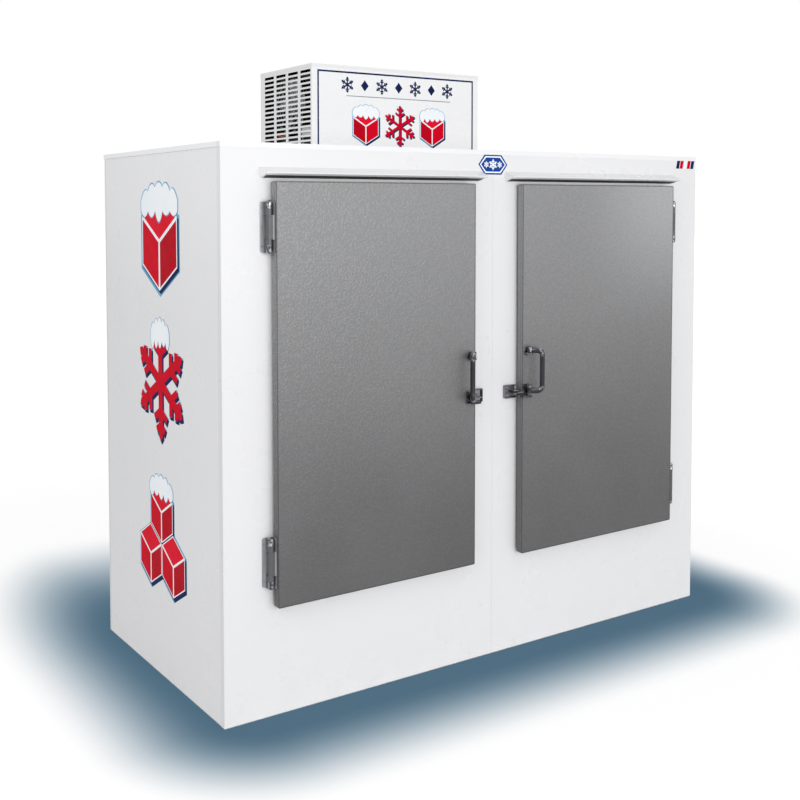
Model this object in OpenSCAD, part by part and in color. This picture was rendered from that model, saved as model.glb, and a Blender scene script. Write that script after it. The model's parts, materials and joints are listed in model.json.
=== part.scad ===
// Two-door ice merchandiser freezer with a top-mounted condensing unit.
// Millimetres, +Z up. The origin is on the floor, under the middle of the cabinet; the doors face -Y.

/* [Cabinet] */
// Overall depth of the cabinet, without the doors
body_d = 1067; // [1000:1:1300]
// Width of the front wall between a door's hinged edge and the cabinet's side
wall_side = 193; // [175:1:320]
// Height of the front wall between a door's upper edge and the cabinet's top
wall_head = 132; // [120:1:300]
// Thickness of the painted outer sheets
sheet_t = 1.5; // [1:0.1:2.5]
// Thickness of the foam in every wall
foam_t = 76; // [55:1:90]
// Thickness of the inner liner
liner_t = 1.5; // [1:0.1:3]
// Height of the top cap's folded lip
cap_lip = 18; // [10:1:30]
// Height of the base pan's upturned flange
pan_flange = 60; // [20:1:120]
// Width of the front panel's return on the cabinet's side
front_return = 25; // [10:1:60]
// Gap of the seam between the two front panels
seam_gap = 1; // [0.5:0.1:3]
// Gap between the floor and the lower edge of the outer panels
floor_gap = 3; // [2:0.5:8]
// Thickness of the plastic trim round a doorway
trim_t = 2.5; // [1.5:0.1:4]
// Width of the trim's inner flange
trim_flange = 14; // [6:1:24]

/* [Rain hoods] */
// Reach of a rain hood past the door's free edge
hood_free = 59; // [10:1:100]
// Reach of a rain hood past the door's hinged edge
hood_hinged = 41; // [10:1:100]
// Height of a rain hood where it meets the wall
hood_h = 37; // [25:1:45]
// Reach of a rain hood in front of the wall
hood_reach = 48; // [20:1:60]
// Fall of the hood's upper face from the wall to its lip
hood_fall = 19; // [8:1:22]
// Height of the hood's lip
hood_lip = 4; // [3:0.5:8]
// Height of the hood's lower edge above the door
hood_above = 12; // [6:1:30]

/* [Doors] */
// Width of a door
door_w = 880; // [780:1:1000]
// Height of a door
door_h = 1480; // [1200:1:1700]
// Distance between the two doors
door_gap = 242; // [225:1:280]
// Height of a door's lower edge
door_z = 395; // [300:1:500]
// Depth of a door's outer pan
pan_t = 29; // [24:1:50]
// Thickness of a door's outer sheet
door_sheet = 1.2; // [0.8:0.1:2]
// Radius of a door's corners
door_corner_r = 6; // [2:1:14]
// Thickness of a door's inner panel
inner_t = 2; // [1:0.1:4]
// Overlap of a door over its doorway, on each side
door_lap = 38; // [34:1:50]
// Depth of the inner panel's raised dish inside the doorway
dish_depth = 28; // [10:1:45]
// Gap between the dish and the doorway's trim
dish_gap = 14; // [8:1:30]
// Inward slope of the dish's sides over its depth
dish_draft = 6; // [2:1:12]
// Thickness of the door gasket
gasket_t = 12; // [8:0.5:16]
// Width of the gasket's base strip
gasket_w = 24; // [16:1:28]
// Width of the gasket's sealing bead
bead_w = 15; // [8:1:16]
// Distance from a door's edge to its gasket
gasket_inset = 4; // [2:1:6]
// Running gap between the sealing bead and the wall
seal_gap = 0.3; // [0.2:0.1:0.6]

/* [Hinges] */
// Height of a hinge
hinge_h = 175; // [120:1:240]
// Distance from a door's end to its hinge
hinge_inset = 70; // [40:1:200]
// Distance from a door's side to the hinge pin's axis
hinge_out = 19; // [17:1:24]
// Distance from the wall to the hinge pin's axis
hinge_fwd = 24; // [22:1:28]
// Radius of the hinge knuckles
knuckle_r = 10; // [8:0.5:11]
// Height of the middle knuckle
knuckle_mid = 84; // [50:1:90]
// Gap between neighbouring knuckles
knuckle_gap = 0.5; // [0.3:0.1:1]
// Thickness of the hinge leaves
leaf_t = 3.5; // [2:0.5:4]
// Width of the wall leaf
leaf_w = 37; // [32:1:50]
// Distance from the wall leaf's inner edge to the pin's axis
leaf_lead = 14; // [12:0.5:18]
// Distance from the door leaf to the door's front and back faces
leaf_inset = 2; // [1:0.5:4]
// Radius of the wall leaf's corners
leaf_corner_r = 8; // [3:1:12]
// Radius of a hinge pin
pin_r = 4; // [3:0.5:5]
// Radial clearance of a hinge pin
pin_gap = 0.15; // [0.1:0.05:0.3]
// Length of a hinge pin below its lower knuckle
pin_foot = 2; // [1:0.5:3]
// Radius of a hinge pin's head
pin_head_r = 7; // [6:0.5:9]
// Height of a hinge pin's head
pin_head_h = 4; // [2:0.5:8]

/* [Latches] */
// Height of a latch's middle above the door's lower edge
latch_up = 654; // [300:1:900]
// Distance from a door's free edge to the handle's pivot
pivot_in = 25; // [22:1:34]
// Distance from a door's face to the handle's pivot
pivot_out = 18; // [17:1:24]
// Reach of the handle's grip from its pivot
handle_reach = 50; // [44:1:70]
// Angle of the resting handle to the door's face
handle_angle = 48; // [30:1:70]
// Swing of the handle, from rest to fully pulled
handle_pull = 25; // [15:1:30]
// Height of the handle between its two arms
handle_h = 162; // [130:1:220]
// Height of the handle's lower arm above the latch's middle
arm_up = 7; // [4:1:12]
// Radius of the handle's rod
rod_r = 8.5; // [5:0.5:10]
// Radius of an arm where its taper leaves the pivot
arm_r = 10.5; // [8:0.5:11]
// Step between the arm's taper and the rod
arm_step = 0.5; // [0.2:0.1:2]
// Radius of the handle's bends, at the rod's middle
bend_r = 20; // [14:1:24]
// Radius of the handle's lower hub
hub_r = 12; // [9:0.5:13]
// Height of the handle's lower hub
hub_h = 22; // [18:1:30]
// Radius of the boss on the handle's upper arm
boss_r = 12; // [8:0.5:13]
// Height of the boss on the handle's upper arm
boss_h = 22; // [18:1:30]
// Radius of the handle's trunnions
trunnion_r = 5; // [3.5:0.5:6]
// Radial clearance of a trunnion
trunnion_gap = 0.2; // [0.1:0.05:0.3]
// Thickness of the latch and bracket lugs
lug_t = 7; // [5:0.5:10]
// Width of a lug beyond the boss that it carries
lug_rim = 1; // [0.5:0.5:3]
// Gap between the hub and each lug
hub_gap = 0.5; // [0.3:0.1:1]
// Thickness of the plates on the door
mount_t = 4; // [2:0.5:5]
// Width of the latch plate
latch_w = 45; // [42:1:70]
// Height of the latch plate
latch_h = 54; // [50:1:80]
// Distance from the door's free edge to the latch plate
latch_inset = 2; // [1:0.5:4]
// Distance from the latch's middle down to the plate's lower edge
latch_drop = 23; // [20:1:26]
// Radius of the handle bracket's round base
bracket_r = 17; // [14:0.5:24]
// Height of the base's middle above the foot of the bracket's lug
bracket_up = 10.5; // [6:0.5:16]
// Radius of the latch and strike plates' corners
plate_r = 5; // [2:0.5:8]
// Radius of the kick-off toe's hub
toe_r = 8; // [6:0.5:9]
// Height of the kick-off toe
toe_h = 9; // [6:0.5:12]
// Thickness of the kick-off toe's arm
toe_t = 8; // [5:0.5:9]
// Width of the toe's finger
toe_w = 5; // [4:1:14]
// Length of the toe's finger towards the wall
toe_finger = 8; // [4:1:24]
// Distance from the strike's edge to the toe's finger
toe_over = 1; // [1:1:14]
// Gap between the toe and the lug above it
toe_gap = 1; // [0.5:0.5:3]
// Gap between the toe and the strike's pad when the handle is fully pulled
pad_gap = 0.8; // [0.5:0.1:2]
// Thickness of the hasp tab
tab_t = 6; // [4:0.5:8]
// Step of the hasp tab in front of the latch plate
tab_step = 4; // [3:0.5:6]
// Gap between the hasp tab and the door's edge, the strike's base and the lug beside it
tab_gap = 3; // [2:0.5:4]
// Radius of the padlock hole
padlock_r = 5; // [3:0.5:6]

/* [Strikes] */
// Width of a strike
strike_w = 57; // [50:1:64]
// Thickness of a strike's base
strike_t = 5; // [3:0.5:6]
// Height of a strike's raised border
border_h = 11; // [7:0.5:11]
// Width of a strike's raised border
border_w = 5; // [3:0.5:8]
// Radius of the corners inside a strike's border
border_r = 4; // [1:0.5:6]
// Radius of the screw head in the middle of a strike
screw_r = 7; // [5:0.5:8]
// Height of the screw head above the strike's base
screw_h = 3; // [1:0.5:4]
// Gap between a strike and the door's edge
strike_gap = 7; // [5:0.5:10]
// Thickness of a strike's ears
ear_t = 4; // [3:0.5:8]
// Gap between the hasp tab and each ear
ear_gap = 1.5; // [1:0.25:3]
// Width of a strike's ears
ear_w = 26; // [20:1:34]
// Radius of the corners of a strike's ears
ear_r = 5; // [2:0.5:8]
// Reach of a strike's ears in front of the wall
ear_reach = 34; // [28:1:44]

/* [Condensing unit] */
// Width of the condensing unit
unit_w = 896; // [860:1:1100]
// Depth of the condensing unit
unit_d = 439; // [430:1:520]
// Height of the condensing unit
unit_h = 381; // [370:1:450]
// Height of the unit cover's folded lip
cover_lip = 12; // [8:1:24]
// Thickness of the unit's base plate
unit_base_t = 3; // [2:0.5:6]
// Height of the base plate's upturned flange
unit_flange = 16; // [8:1:24]
// Least height of the lowest slot above the unit's foot
slot_foot = 25; // [15:1:60]
// Width of a slot
slot_w = 83; // [60:1:92]
// Height of a slot
slot_h = 12; // [6:0.5:14]
// Height from one slot to the next
slot_pitch = 20.1; // [16:0.1:20.5]
// Distance from one column of slots to the next
col_pitch = 103; // [94:1:104]
// Distance from the grille's front edge to its first column
col_start = 8; // [6:1:20]
// Distance from the unit's top to the middle of the first slot
slot_drop = 29; // [20:1:32]
// Slots in one column of the rear grille
rear_rows = 9; // [4:1:10]
// Distance from the unit's side to the middle of its rear grille
rear_in = 150; // [80:1:200]
// Distance from the unit's top to the first slot of the rear grille
rear_drop = 80; // [60:1:120]

/* [Condenser fan] */
// Radius of the condenser fan's blades
fan_r = 124; // [90:1:128]
// Blades of the condenser fan
fan_blades = 5; // [3:1:6]
// Width of a fan blade across the axis
blade_w = 62; // [40:1:70]
// Depth of a fan blade along the axis
blade_d = 26; // [16:1:30]
// Radius of a fan blade's camber
camber_r = 90; // [70:1:160]
// Radius of the fan hub
fan_hub_r = 26; // [20:1:34]
// Thickness of a fan blade
blade_t = 1.6; // [1:0.1:3]
// Distance from the unit's front to the fan's axis
fan_in = 206; // [190:1:220]
// Height of the condenser coil's top above the fan's axis
fan_drop = 145; // [140:1:170]
// Gap between the blade tips and the shroud's ring
tip_gap = 6; // [4:0.5:10]
// Distance from the side grille to the fan guard
guard_in = 14; // [8:1:24]
// Thickness of the fan guard's wires
guard_wire = 3; // [2:0.5:4]
// Rings in the fan guard
guard_rings = 6; // [3:1:8]
// Depth of the ring between the guard and the shroud's box
ring_d = 30; // [28:1:40]
// Depth of the fan shroud's box
shroud_d = 118; // [112:1:130]
// Thickness of the shroud's sheet
shroud_t = 1.5; // [1:0.1:3]
// Distance from the shroud box's front sheet to the back of the fan
fan_set = 10; // [4:1:14]
// Gap between the fan and its motor
motor_gap = 4; // [2:0.5:6]
// Radius of the fan motor
motor_r = 42; // [30:1:50]
// Length of the fan motor
motor_l = 58; // [40:1:62]
// Width of the arms that carry the fan motor
arm_w = 10; // [6:1:16]
// Radius of the motor shaft
shaft_r = 4; // [3:0.5:6]
// Distance of the motor shaft's end inside the fan's hub
shaft_in = 2; // [1:0.5:6]

/* [Refrigeration] */
// Depth of the condenser coil along the air's way
coil_d = 56; // [40:1:80]
// Gap between the condenser coil and the unit's top
coil_head = 21; // [8:1:60]
// Height of the condenser coil above the unit's base plate
coil_up = 12; // [6:1:14]
// Distance from the condenser coil to the unit's front
coil_front = 40; // [34:1:50]
// Distance from the condenser coil to the unit's back
coil_rear = 44; // [34:1:60]
// Thickness of the coil's end plates
coil_end = 3; // [2:0.5:6]
// Width of the legs under the coil and the shroud
leg_w = 30; // [20:1:36]
// Radius of the coil's tubes
coil_tube_r = 5; // [4:0.5:6]
// Rows of tubes in the coil
coil_rows = 8; // [4:1:10]
// Grooves between the coil's fins
coil_grooves = 24; // [10:1:30]
// Depth of the grooves between the fins
groove_depth = 8; // [4:1:12]
// Radius of the compressor's shell
comp_r = 88; // [70:1:96]
// Height of the compressor's shell
comp_h = 212; // [180:1:240]
// Distance from the unit's middle to the compressor's axis
comp_x = 20; // [0:1:60]
// Radius of the compressor shell's round edges
dome_r = 30; // [20:1:50]
// Thickness of the compressor's foot plates
foot_t = 4; // [3:0.5:8]
// Width of the compressor's terminal cover
terminal_w = 56; // [40:1:80]
// Height of the compressor's terminal cover
terminal_h = 80; // [50:1:110]
// Reach of the terminal cover beyond the shell
terminal_out = 26; // [14:1:40]
// Radius of the compressor's rubber feet
foot_r = 14; // [10:1:18]
// Height of the compressor's rubber feet
foot_h = 16; // [10:1:24]
// Radius of the refrigerant lines
line_r = 6; // [5:0.5:8]
// Radius of the bends in the refrigerant lines
line_bend = 22; // [18:1:26]
// Radius of the hole in the roof for the lines
roof_hole_r = 34; // [30:1:40]
// Distance between the two lines through the roof
line_gap = 30; // [24:1:34]
// Height of the suction line above the unit's base plate
suction_up = 120; // [90:1:160]
// Height of the liquid line above the unit's base plate
liquid_up = 40; // [20:1:70]
// Gap between the liquid line and the compressor's shell
line_clear = 12; // [8:1:20]
// Rise of the discharge line above the compressor
discharge_up = 30; // [28:1:50]
// Width of the control box
control_w = 150; // [110:1:180]
// Height of the control box
control_h = 200; // [150:1:240]
// Depth of the control box
control_d = 90; // [60:1:120]
// Gap between the control box and the unit's side
control_gap = 14; // [6:1:30]
// Distance from the control box to the unit's front
control_in = 50; // [20:1:60]
// Height of the thermostat knob's middle on the control box
knob_up = 140; // [60:1:170]
// Gap between the knob and the control box
knob_gap = 0.3; // [0.2:0.1:1]
// Length of the knob's pointer above its face
pointer_h = 1.5; // [1:0.5:3]
// Radius of the thermostat knob
knob_r = 18; // [12:1:26]
// Height of the thermostat knob
knob_h = 16; // [10:1:24]

/* [Evaporator] */
// Width of the evaporator housing
evap_w = 640; // [600:1:690]
// Depth of the evaporator housing
evap_d = 270; // [260:1:320]
// Height of the evaporator housing
evap_h = 230; // [226:1:260]
// Thickness of the evaporator housing's sheet
evap_t = 1.5; // [1:0.1:3]
// Gap between the evaporator housing and the back of the liner
evap_back = 60; // [40:1:100]
// Distance from the evaporator housing to the lines beside it
evap_line = 60; // [50:1:64]
// Depth of the evaporator coil along the air's way
evap_coil_d = 100; // [60:1:108]
// Distance from the evaporator coil to the back of its housing
evap_coil_rear = 20; // [10:1:40]
// Distance from the evaporator coil to each end of its housing
evap_coil_side = 46; // [36:1:80]
// Height of the evaporator coil above the drain pan
evap_coil_up = 20; // [10:1:40]
// Height of the rim left round the housing's open back
evap_rim = 30; // [20:1:50]
// Distance the fan's ring stands in front of the housing
evap_ring_d = 12; // [6:1:20]
// Distance from the housing's front sheet to the back of the fan
evap_fan_set = 14; // [8:1:20]
// Radius of the evaporator fan's motor
evap_motor_r = 38; // [28:1:46]
// Length of the evaporator fan's motor
evap_motor_l = 60; // [40:1:80]
// Radius of the evaporator fan's blades
evap_fan_r = 96; // [70:1:98]
// Radius of the drain pipe
drain_r = 11.5; // [8:0.1:12.5]
// Wall thickness of the drain pipe
drain_t = 1.6; // [1:0.1:3]
// Clearance round the pipes where they pass through sheet and foam
pass_gap = 1; // [0.5:0.1:3]
// Length of the drain pipe behind the cabinet
drain_out = 34; // [26:1:60]
// Radius of the hose spigot on the drain pipe's end
spigot_r = 12.7; // [9:0.1:17]
// Gap between the cabinet's back and the hose spigot
spigot_gap = 4; // [1:0.5:10]

/* [Floor racks] */
// Height of a floor rack
rack_h = 28; // [20:1:50]
// Slats in a floor rack
rack_slats = 9; // [4:1:11]
// Width of a slat
slat_w = 66; // [40:1:72]
// Thickness of a slat
slat_t = 10; // [6:1:16]
// Width of a bearer under the slats
bearer_w = 30; // [20:1:60]
// Gap between a floor rack and the liner
rack_gap = 12; // [6:1:30]

/* [Hidden] */

// Overlap that carries one cut or joined piece through the face of another
e = 0.01;
// Fineness of round faces, and of the hulls' and blades' round outlines
$fn = 64;

// Colours
white = "#f4f5f6";
foam_yellow = "#e3d9a8";
liner_white = "#e9ecee";
stucco_grey = "#7d7f80";
hinge_grey = "#9a9c9e";
dark_chrome = "#4a474b";
black = "#26272a";
copper = "#b5693c";
metal = "#b9bdc1";

// The right door; everything on the left is its mirror image
door_x0 = door_gap / 2;
door_x1 = door_x0 + door_w;
door_mid = (door_x0 + door_x1) / 2;
door_z1 = door_z + door_h;

// Outer faces of the cabinet's layers: the cap's lip is the outermost, then the front and back
// panels, then the side panels, then the base pan's flange and the foam.
half_w = door_x1 + wall_side;
body_h = door_z1 + wall_head;
half_d = body_d / 2;
wall_y = -half_d + sheet_t;
back_y = half_d - sheet_t;
panel_x = half_w - sheet_t;
side_x = panel_x - sheet_t;
foam_x = side_x - sheet_t;
foam_front = wall_y + sheet_t;
foam_back = back_y - sheet_t;
foam_low = sheet_t;
foam_top = body_h - sheet_t;
panel_top = body_h - sheet_t;

// Faces of the cavity in the foam, and of the liner inside it
cav_x = foam_x - foam_t;
cav_front = foam_front + foam_t;
cav_back = foam_back - foam_t;
cav_low = foam_low + foam_t;
cav_top = foam_top - foam_t;
in_x = cav_x - liner_t;
in_front = cav_front + liner_t;
in_back = cav_back - liner_t;
in_low = cav_low + liner_t;
in_top = cav_top - liner_t;

// Depth of a door, and its doorway
door_back = wall_y - gasket_t;
door_face = door_back - pan_t;
way_x0 = door_x0 + door_lap;
way_x1 = door_x1 - door_lap;
way_z0 = door_z + door_lap;
way_z1 = door_z1 - door_lap;

// Hinge axis, and the heights of the two hinges' lower ends
hinge_x = door_x1 + hinge_out;
hinge_y = wall_y - hinge_fwd;
hinge_z = [door_z + hinge_inset, door_z1 - hinge_inset - hinge_h];
knuckle_end = (hinge_h - knuckle_mid) / 2 - knuckle_gap;

// Handle pivot, and the heights of the latch, the handle's arms and the hasp tab
pivot_x = door_x0 + pivot_in;
pivot_y = door_face - pivot_out;
latch_z = door_z + latch_up;
arm_low = latch_z + arm_up;
arm_top = arm_low + handle_h;
lug_top = arm_low + hub_h / 2 + hub_gap;
lug_low = arm_low - hub_h / 2 - hub_gap;
bracket_z = arm_top - boss_h / 2 - hub_gap - lug_t;
toe_z = lug_low - lug_t - toe_gap - toe_h;
tab_z = latch_z - tab_t / 2;

// Strike, its ears and the padlock hole
strike_x1 = door_x0 - strike_gap;
strike_x0 = strike_x1 - strike_w;
padlock_x = strike_x1 - ear_w / 2;
padlock_y = wall_y - (ear_reach + strike_t) / 2 - pin_r;

// Far end of the toe from the pivot, the notch of the latch plate that it swings into, and the
// pad's face that it meets when fully pulled
toe_x = pivot_x - strike_x1 + toe_over;
toe_room = pivot_out - mount_t - toe_gap - toe_t / 2 * cos(handle_pull);
toe_end = toe_x + toe_w;
notch_x = pivot_x - toe_room / tan(handle_pull) + toe_t / 2 * sin(handle_pull);
pad_y = pivot_y + toe_end * sin(handle_pull) + toe_finger * cos(handle_pull) + pad_gap;

// Condensing unit, flush with the cabinet's back
unit_x = unit_w / 2;
unit_y1 = half_d;
unit_y0 = unit_y1 - unit_d;
unit_z1 = body_h + unit_h;
unit_floor = body_h + unit_base_t;
grille_z1 = unit_z1 - sheet_t;
slot_rows = 1 + floor((unit_h - slot_drop - slot_foot) / slot_pitch);
slot_cols = 1 + floor((unit_d - 2 * (sheet_t + col_start) - slot_w) / col_pitch);

// Condenser fan axis along X, and the places along it
fan_y = unit_y0 + fan_in;
ring_r = fan_r + tip_gap;
guard_x = -unit_x + sheet_t + guard_in;
shroud_x = guard_x + ring_d;
coil_x = shroud_x + shroud_d;
coil_y0 = unit_y0 + coil_front;
coil_y1 = unit_y1 - coil_rear;
coil_z = unit_floor + coil_up;
coil_h = unit_z1 - coil_head - coil_z;
fan_z = coil_z + coil_h - fan_drop;
coil_face = coil_x + coil_d;
fan_back = shroud_x + shroud_t + fan_set;
leg_y = [coil_y0 + leg_w, coil_y1 - 2 * leg_w];

// Evaporator under the roof of the liner
evap_y1 = in_back - evap_back;
evap_y0 = evap_y1 - evap_d;
evap_x = evap_w / 2;
evap_low = in_top - evap_h;
evap_mid = in_top - evap_h / 2;
evap_ring_r = evap_fan_r + tip_gap;
evap_coil_y = evap_y1 - evap_coil_rear - evap_coil_d;
evap_fan_back = evap_y0 + evap_t + evap_fan_set;
drain_z = evap_low + evap_t + drain_r;

// Lines through the roof beside the evaporator, and the compressor in line with the suction line
lines_x = evap_x + evap_line;
lines_y = evap_coil_y + evap_coil_d / 2;
lines_z = evap_mid + line_bend;
suction_y = lines_y - line_gap / 2;
liquid_y = lines_y + line_gap / 2;
comp_y = suction_y;
shell_z = unit_floor + foot_h;
comp_top = shell_z + comp_h;

// Control box beside the right grille
control_x = unit_x - sheet_t - control_gap - control_w;
control_y = unit_y0 + control_in;
knob_y = control_y + control_d / 2;
knob_z = unit_floor + knob_up;

// ---- Helpers ----

// Box between two corners
module block(lo, hi) {
    translate(lo)
        cube(hi - lo);
}

// Rectangle with round corners, its lower left corner at the origin
module round_rect(w, h, r) {
    translate([r, 0])
        square([w - 2 * r, h]);
    translate([0, r])
        square([w, h - 2 * r]);
    for (x = [r, w - r])
        for (y = [r, h - r])
            translate([x, y])
                circle(r);
}

// Plate with round corners that faces -Y: x, z and size of its outline, from y0 back to y1
module face_plate(x, z, w, h, r, y0, y1) {
    translate([x, y1, z])
        rotate([90, 0, 0])
            linear_extrude(y1 - y0)
                round_rect(w, h, r);
}

// Mirror image of the right-hand child for the left-hand side
module left_hand() {
    mirror([1, 0, 0])
        children();
}

// Cylinder between two points along one axis
module rod(from, to, r) {
    v = to - from;
    len = norm(v);
    polar = acos(v[2] / len);
    turn = atan2(v[1], v[0]);
    translate(from)
        rotate([0, polar, turn])
            cylinder(h = len, r = r);
}

// Quarter bend at a corner, between the unit directions in and out
module bend(corner, in, out, bend_r, r) {
    c = corner + bend_r * (out - in);
    z = cross(-out, in);
    multmatrix([
        [-out[0], in[0], z[0], c[0]],
        [-out[1], in[1], z[1], c[1]],
        [-out[2], in[2], z[2], c[2]],
        [0, 0, 0, 1]
    ])
        rotate_extrude(angle = 90)
            translate([bend_r, 0])
                circle(r, $fn = 32);
}

// Tube along a path of square corners
module pipe(path, bend_r, r) {
    last = len(path) - 1;
    dirs = [for (i = [0 : last - 1]) (path[i + 1] - path[i]) / norm(path[i + 1] - path[i])];
    for (i = [0 : last - 1]) {
        from = i == 0 ? path[0] : path[i] + bend_r * dirs[i];
        to = i == last - 1 ? path[last] : path[i + 1] - bend_r * dirs[i];
        rod(from, to, r);
    }
    for (i = [1 : last - 1])
        bend(path[i], dirs[i - 1], dirs[i], bend_r, r);
}

// ---- Cabinet shell ----

// Tray that carries the cabinet on the floor
module base_pan() {
    color(metal)
        difference() {
            block([-foam_x, foam_front, 0], [foam_x, foam_back, pan_flange]);
            block(
                [-foam_x + sheet_t, foam_front + sheet_t, sheet_t],
                [foam_x - sheet_t, foam_back - sheet_t, pan_flange + e]
            );
        }
}

module right_side_panel() {
    color(white)
        block([foam_x, foam_front, floor_gap], [side_x, foam_back, panel_top]);
}

module left_side_panel() {
    left_hand()
        right_side_panel();
}

module back_panel() {
    color(white)
        difference() {
            block([-side_x, foam_back, floor_gap], [side_x, back_y, panel_top]);
            drain_hole();
        }
}

// Front sheet with its return round the corner, and the doorway cut out
module front_panel_right() {
    color(white)
        difference() {
            union() {
                block([seam_gap / 2, wall_y, floor_gap], [panel_x, foam_front, panel_top]);
                block([side_x, wall_y, floor_gap], [panel_x, wall_y + front_return, panel_top]);
            }
            doorway(wall_y - e, foam_front + e);
        }
}

module front_panel_left() {
    left_hand()
        front_panel_right();
}

// Box of the right doorway between two depths
module doorway(y0, y1) {
    block([way_x0, y0, way_z0], [way_x1, y1, way_z1]);
}

// Roof sheet with a folded lip on all four sides
module top_cap() {
    color(white)
        difference() {
            block([-half_w, -half_d, body_h - cap_lip], [half_w, half_d, body_h]);
            block(
                [-panel_x, wall_y, body_h - cap_lip - e],
                [panel_x, back_y, panel_top]
            );
            roof_hole();
        }
}

// ---- Foam walls ----

// Foam block, rebated where the base pan's flange stands
module foam(lo, hi) {
    color(foam_yellow)
        difference() {
            block(lo, hi);
            flange_rebate();
        }
}

module flange_rebate() {
    difference() {
        block([-foam_x - e, foam_front - e, 0], [foam_x + e, foam_back + e, pan_flange]);
        block(
            [-foam_x + sheet_t, foam_front + sheet_t, -e],
            [foam_x - sheet_t, foam_back - sheet_t, pan_flange + e]
        );
    }
}

module insulation_right() {
    foam([cav_x, foam_front, foam_low], [foam_x, foam_back, foam_top]);
}

module insulation_left() {
    left_hand()
        insulation_right();
}

module insulation_back() {
    difference() {
        foam([-cav_x, cav_back, foam_low], [cav_x, foam_back, foam_top]);
        drain_hole();
    }
}

module insulation_floor() {
    color(foam_yellow)
        block([-cav_x, cav_front, foam_low], [cav_x, cav_back, cav_low]);
}

module insulation_ceiling() {
    color(foam_yellow)
        difference() {
            block([-cav_x, cav_front, cav_top], [cav_x, cav_back, foam_top]);
            roof_hole();
        }
}

module insulation_header() {
    color(foam_yellow)
        block([-cav_x, foam_front, way_z1], [cav_x, cav_front, foam_top]);
}

module insulation_sill() {
    foam([-cav_x, foam_front, foam_low], [cav_x, cav_front, way_z0]);
}

module insulation_jamb_right() {
    color(foam_yellow)
        block([way_x1, foam_front, way_z0], [cav_x, cav_front, way_z1]);
}

module insulation_jamb_left() {
    left_hand()
        insulation_jamb_right();
}

module insulation_mullion() {
    color(foam_yellow)
        block([-way_x0, foam_front, way_z0], [way_x0, cav_front, way_z1]);
}

// Hole for the refrigerant lines through roof, foam and liner
module roof_hole() {
    translate([lines_x, lines_y, in_top - e])
        cylinder(h = unit_floor - in_top + 2 * e, r = roof_hole_r);
}

// Hole for the drain pipe through liner, foam and back panel
module drain_hole() {
    translate([0, back_y + e, drain_z])
        rotate([90, 0, 0])
            cylinder(h = back_y - in_back + 2 * e, r = drain_r + pass_gap);
}

// ---- Inside of the cabinet ----

module inner_liner() {
    color(liner_white)
        difference() {
            block([-cav_x, cav_front, cav_low], [cav_x, cav_back, cav_top]);
            block([-in_x, in_front, in_low], [in_x, in_back, in_top]);
            doorway(cav_front - e, in_front + e);
            left_hand()
                doorway(cav_front - e, in_front + e);
            roof_hole();
            drain_hole();
        }
}

// Plastic frame that lines a doorway from the front sheet to the liner
module doorway_trim() {
    difference() {
        union() {
            doorway(wall_y, in_front);
            block(
                [way_x0 - trim_flange, in_front, way_z0 - trim_flange],
                [way_x1 + trim_flange, in_front + trim_t, way_z1 + trim_flange]
            );
        }
        block(
            [way_x0 + trim_t, wall_y - e, way_z0 + trim_t],
            [way_x1 - trim_t, in_front + trim_t + e, way_z1 - trim_t]
        );
    }
}

module doorway_trims() {
    color(liner_white) {
        doorway_trim();
        left_hand()
            doorway_trim();
    }
}

// Slatted rack that keeps the bags off the floor, one for each half of the cabinet
module floor_rack() {
    x0 = rack_gap / 2;
    x1 = in_x - rack_gap;
    y0 = in_front + rack_gap + trim_t;
    y1 = in_back - rack_gap;
    pitch = (y1 - y0 - slat_w) / (rack_slats - 1);
    for (i = [0 : rack_slats - 1])
        translate([x0, y0 + i * pitch, in_low + rack_h - slat_t])
            cube([x1 - x0, slat_w, slat_t]);
    for (x = [x0, (x0 + x1 - bearer_w) / 2, x1 - bearer_w])
        block([x, y0, in_low], [x + bearer_w, y1, in_low + rack_h - slat_t + e]);
}

module floor_racks() {
    color(metal) {
        floor_rack();
        left_hand()
            floor_rack();
    }
}

// ---- Rain hoods ----

// Folded sheet wedge over a door, hollow towards the wall
module rain_hood_right() {
    hood_l = hood_free + door_w + hood_hinged;
    color(white)
        translate([door_x0 - hood_free, wall_y, door_z1 + hood_above])
            rotate([90, 0, 90])
                difference() {
                    linear_extrude(hood_l)
                        hood_profile(0);
                    translate([0, 0, sheet_t])
                        linear_extrude(hood_l - 2 * sheet_t)
                            hood_profile(sheet_t);
                }
}

// Side view of the hood; inset draws the hollow inside its sheet, open towards the wall
module hood_profile(inset) {
    low = hood_h - hood_fall - hood_lip;
    top_slope = hood_fall / hood_reach;
    low_slope = low / hood_reach;
    tip = hood_reach - inset;
    wall = inset > 0 ? e : 0;
    polygon([
        [wall, hood_h - inset],
        [-tip, hood_h - tip * top_slope - inset * norm([1, top_slope])],
        [-tip, tip * low_slope + inset * norm([1, low_slope])],
        [wall, inset]
    ]);
}

module rain_hood_left() {
    left_hand()
        rain_hood_right();
}

// ---- Doors ----

// Outer pan: face sheet and folded sides
module door_skin_right() {
    color(stucco_grey)
        difference() {
            face_plate(door_x0, door_z, door_w, door_h, door_corner_r, door_face, door_back);
            face_plate(
                door_x0 + door_sheet, door_z + door_sheet,
                door_w - 2 * door_sheet, door_h - 2 * door_sheet,
                door_corner_r - door_sheet, door_face + door_sheet, door_back + e
            );
        }
}

module door_skin_left() {
    left_hand()
        door_skin_right();
}

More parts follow.
